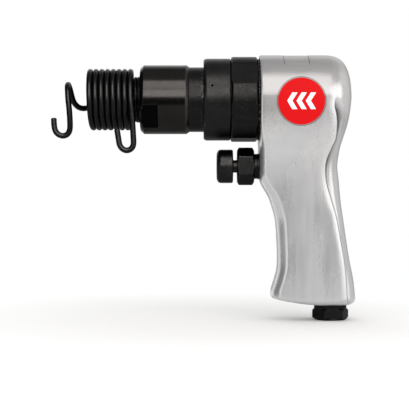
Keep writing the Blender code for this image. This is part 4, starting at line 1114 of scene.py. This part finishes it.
def build_world():
    """White behind everything. What the metal mirrors is a soft grey room, lightest at the tool's back."""
    world = bpy.data.worlds.new("studio")
    world.use_nodes = True
    tree = world.node_tree
    tree.nodes.clear()

    def node(kind, *inputs):
        made = tree.nodes.new("ShaderNode" + kind)
        for socket, value in zip(made.inputs, inputs):
            if isinstance(value, bpy.types.NodeSocket):
                tree.links.new(value, socket)
            elif value is not None:
                socket.default_value = value
        return made

    def ramp(value, stops):
        spread = node("MapRange", value, -1.0, 1.0, 0.0, 1.0)
        made = node("ValToRGB", spread.outputs[0])
        for i, (at, grey) in enumerate(stops):
            place = (at + 1) / 2
            stop = made.color_ramp.elements[i] if i < 2 else made.color_ramp.elements.new(place)
            stop.position = place
            stop.color = (grey, grey, grey, 1.0)
        return made.outputs[0]

    direction = node("SeparateXYZ", node("TexCoord").outputs["Generated"])
    grey = (1.0, 1.0, 1.0)
    for axis, stops in (("Z", ROOM_BY_HEIGHT), ("Y", ROOM_BY_DEPTH), ("X", ROOM_BY_SIDE)):
        product = node("VectorMath", grey, ramp(direction.outputs[axis], stops))
        product.operation = "MULTIPLY"
        grey = product.outputs[0]
    room = node("Background", grey, 1.0)
    white = node("Background", (1.0, 1.0, 1.0, 1.0), 1.0)
    ray = node("LightPath")
    lit = node("MixShader", ray.outputs["Is Diffuse Ray"], room.outputs[0], white.outputs[0])
    shown = node("MixShader", ray.outputs["Is Camera Ray"], lit.outputs[0], white.outputs[0])
    tree.links.new(shown.outputs[0], node("OutputWorld").inputs["Surface"])
    bpy.context.scene.world = world


def build_camera():
    data = bpy.data.cameras.new("camera")
    data.sensor_width = SENSOR_WIDTH
    data.lens = SENSOR_WIDTH * VIEW_DISTANCE / VIEW_WIDTH
    camera = bpy.data.objects.new("camera", data)
    camera.location = ORIGIN + VIEW_POINT - Vector((0.0, VIEW_DISTANCE, 0.0))
    camera.rotation_euler = (math.radians(90), 0.0, 0.0)
    bpy.context.scene.collection.objects.link(camera)
    bpy.context.scene.camera = camera


def main():
    bpy.context.scene.view_settings.view_transform = "Standard"
    build_camera()
    build_floor()
    build_world()
    matte_black = black_oxide("matte_black", (0.0108, 0.0106, 0.0105), 0.36, rings=0.00001)
    collar_black = black_oxide("collar_black", (0.0145, 0.0143, 0.0141), 0.36, rings=0.00001)
    muzzle_black = black_oxide(
        "muzzle_black", (0.0150, 0.0143, 0.0138), 0.18, rings=0.000012, wear=0.08, grain=0.000006
    )
    button_black = black_oxide("button_black", (0.0150, 0.0148, 0.0146), 0.34, rings=0.00002)
    wire_black = black_oxide("wire_black", (0.0120, 0.0118, 0.0117), 0.33, wear=0.0, grain=0.000003)
    # The wrench flats' near-black colour is painted shade.
    flat_black = black_oxide("flat_black", (0.0022, 0.0022, 0.0022), 0.50, wear=0.1)
    worn_black = black_oxide("worn_black", (0.030, 0.028, 0.027), 0.34, wear=0.6)
    steel = ground_steel("bright_steel", (0.50, 0.50, 0.51), 0.28)
    screen = ground_steel("screen_steel", (0.58, 0.55, 0.48), 0.40)
    build_housing(cast_aluminium())
    build_badge(
        printed("badge_red", (0.60, 0.0035, 0.005), (0.52, 0.003, 0.0045), 0.40),
        printed("badge_white", (0.86, 0.85, 0.85), (0.76, 0.75, 0.75), 0.32),
        ground_steel("badge_rim", (0.42, 0.41, 0.40), 0.30),
    )
    build_cylinder(matte_black, muzzle_black, flat_black, worn_black)
    build_collar(collar_black, wire_black)
    build_throttle(matte_black, button_black)
    build_inlet(matte_black)
    build_retainer(wire_black)
    build_throttle_spring(steel)
    finish_inner_nodes(steel, screen, seal_rubber(), wire_black)
    build_lights()


main()
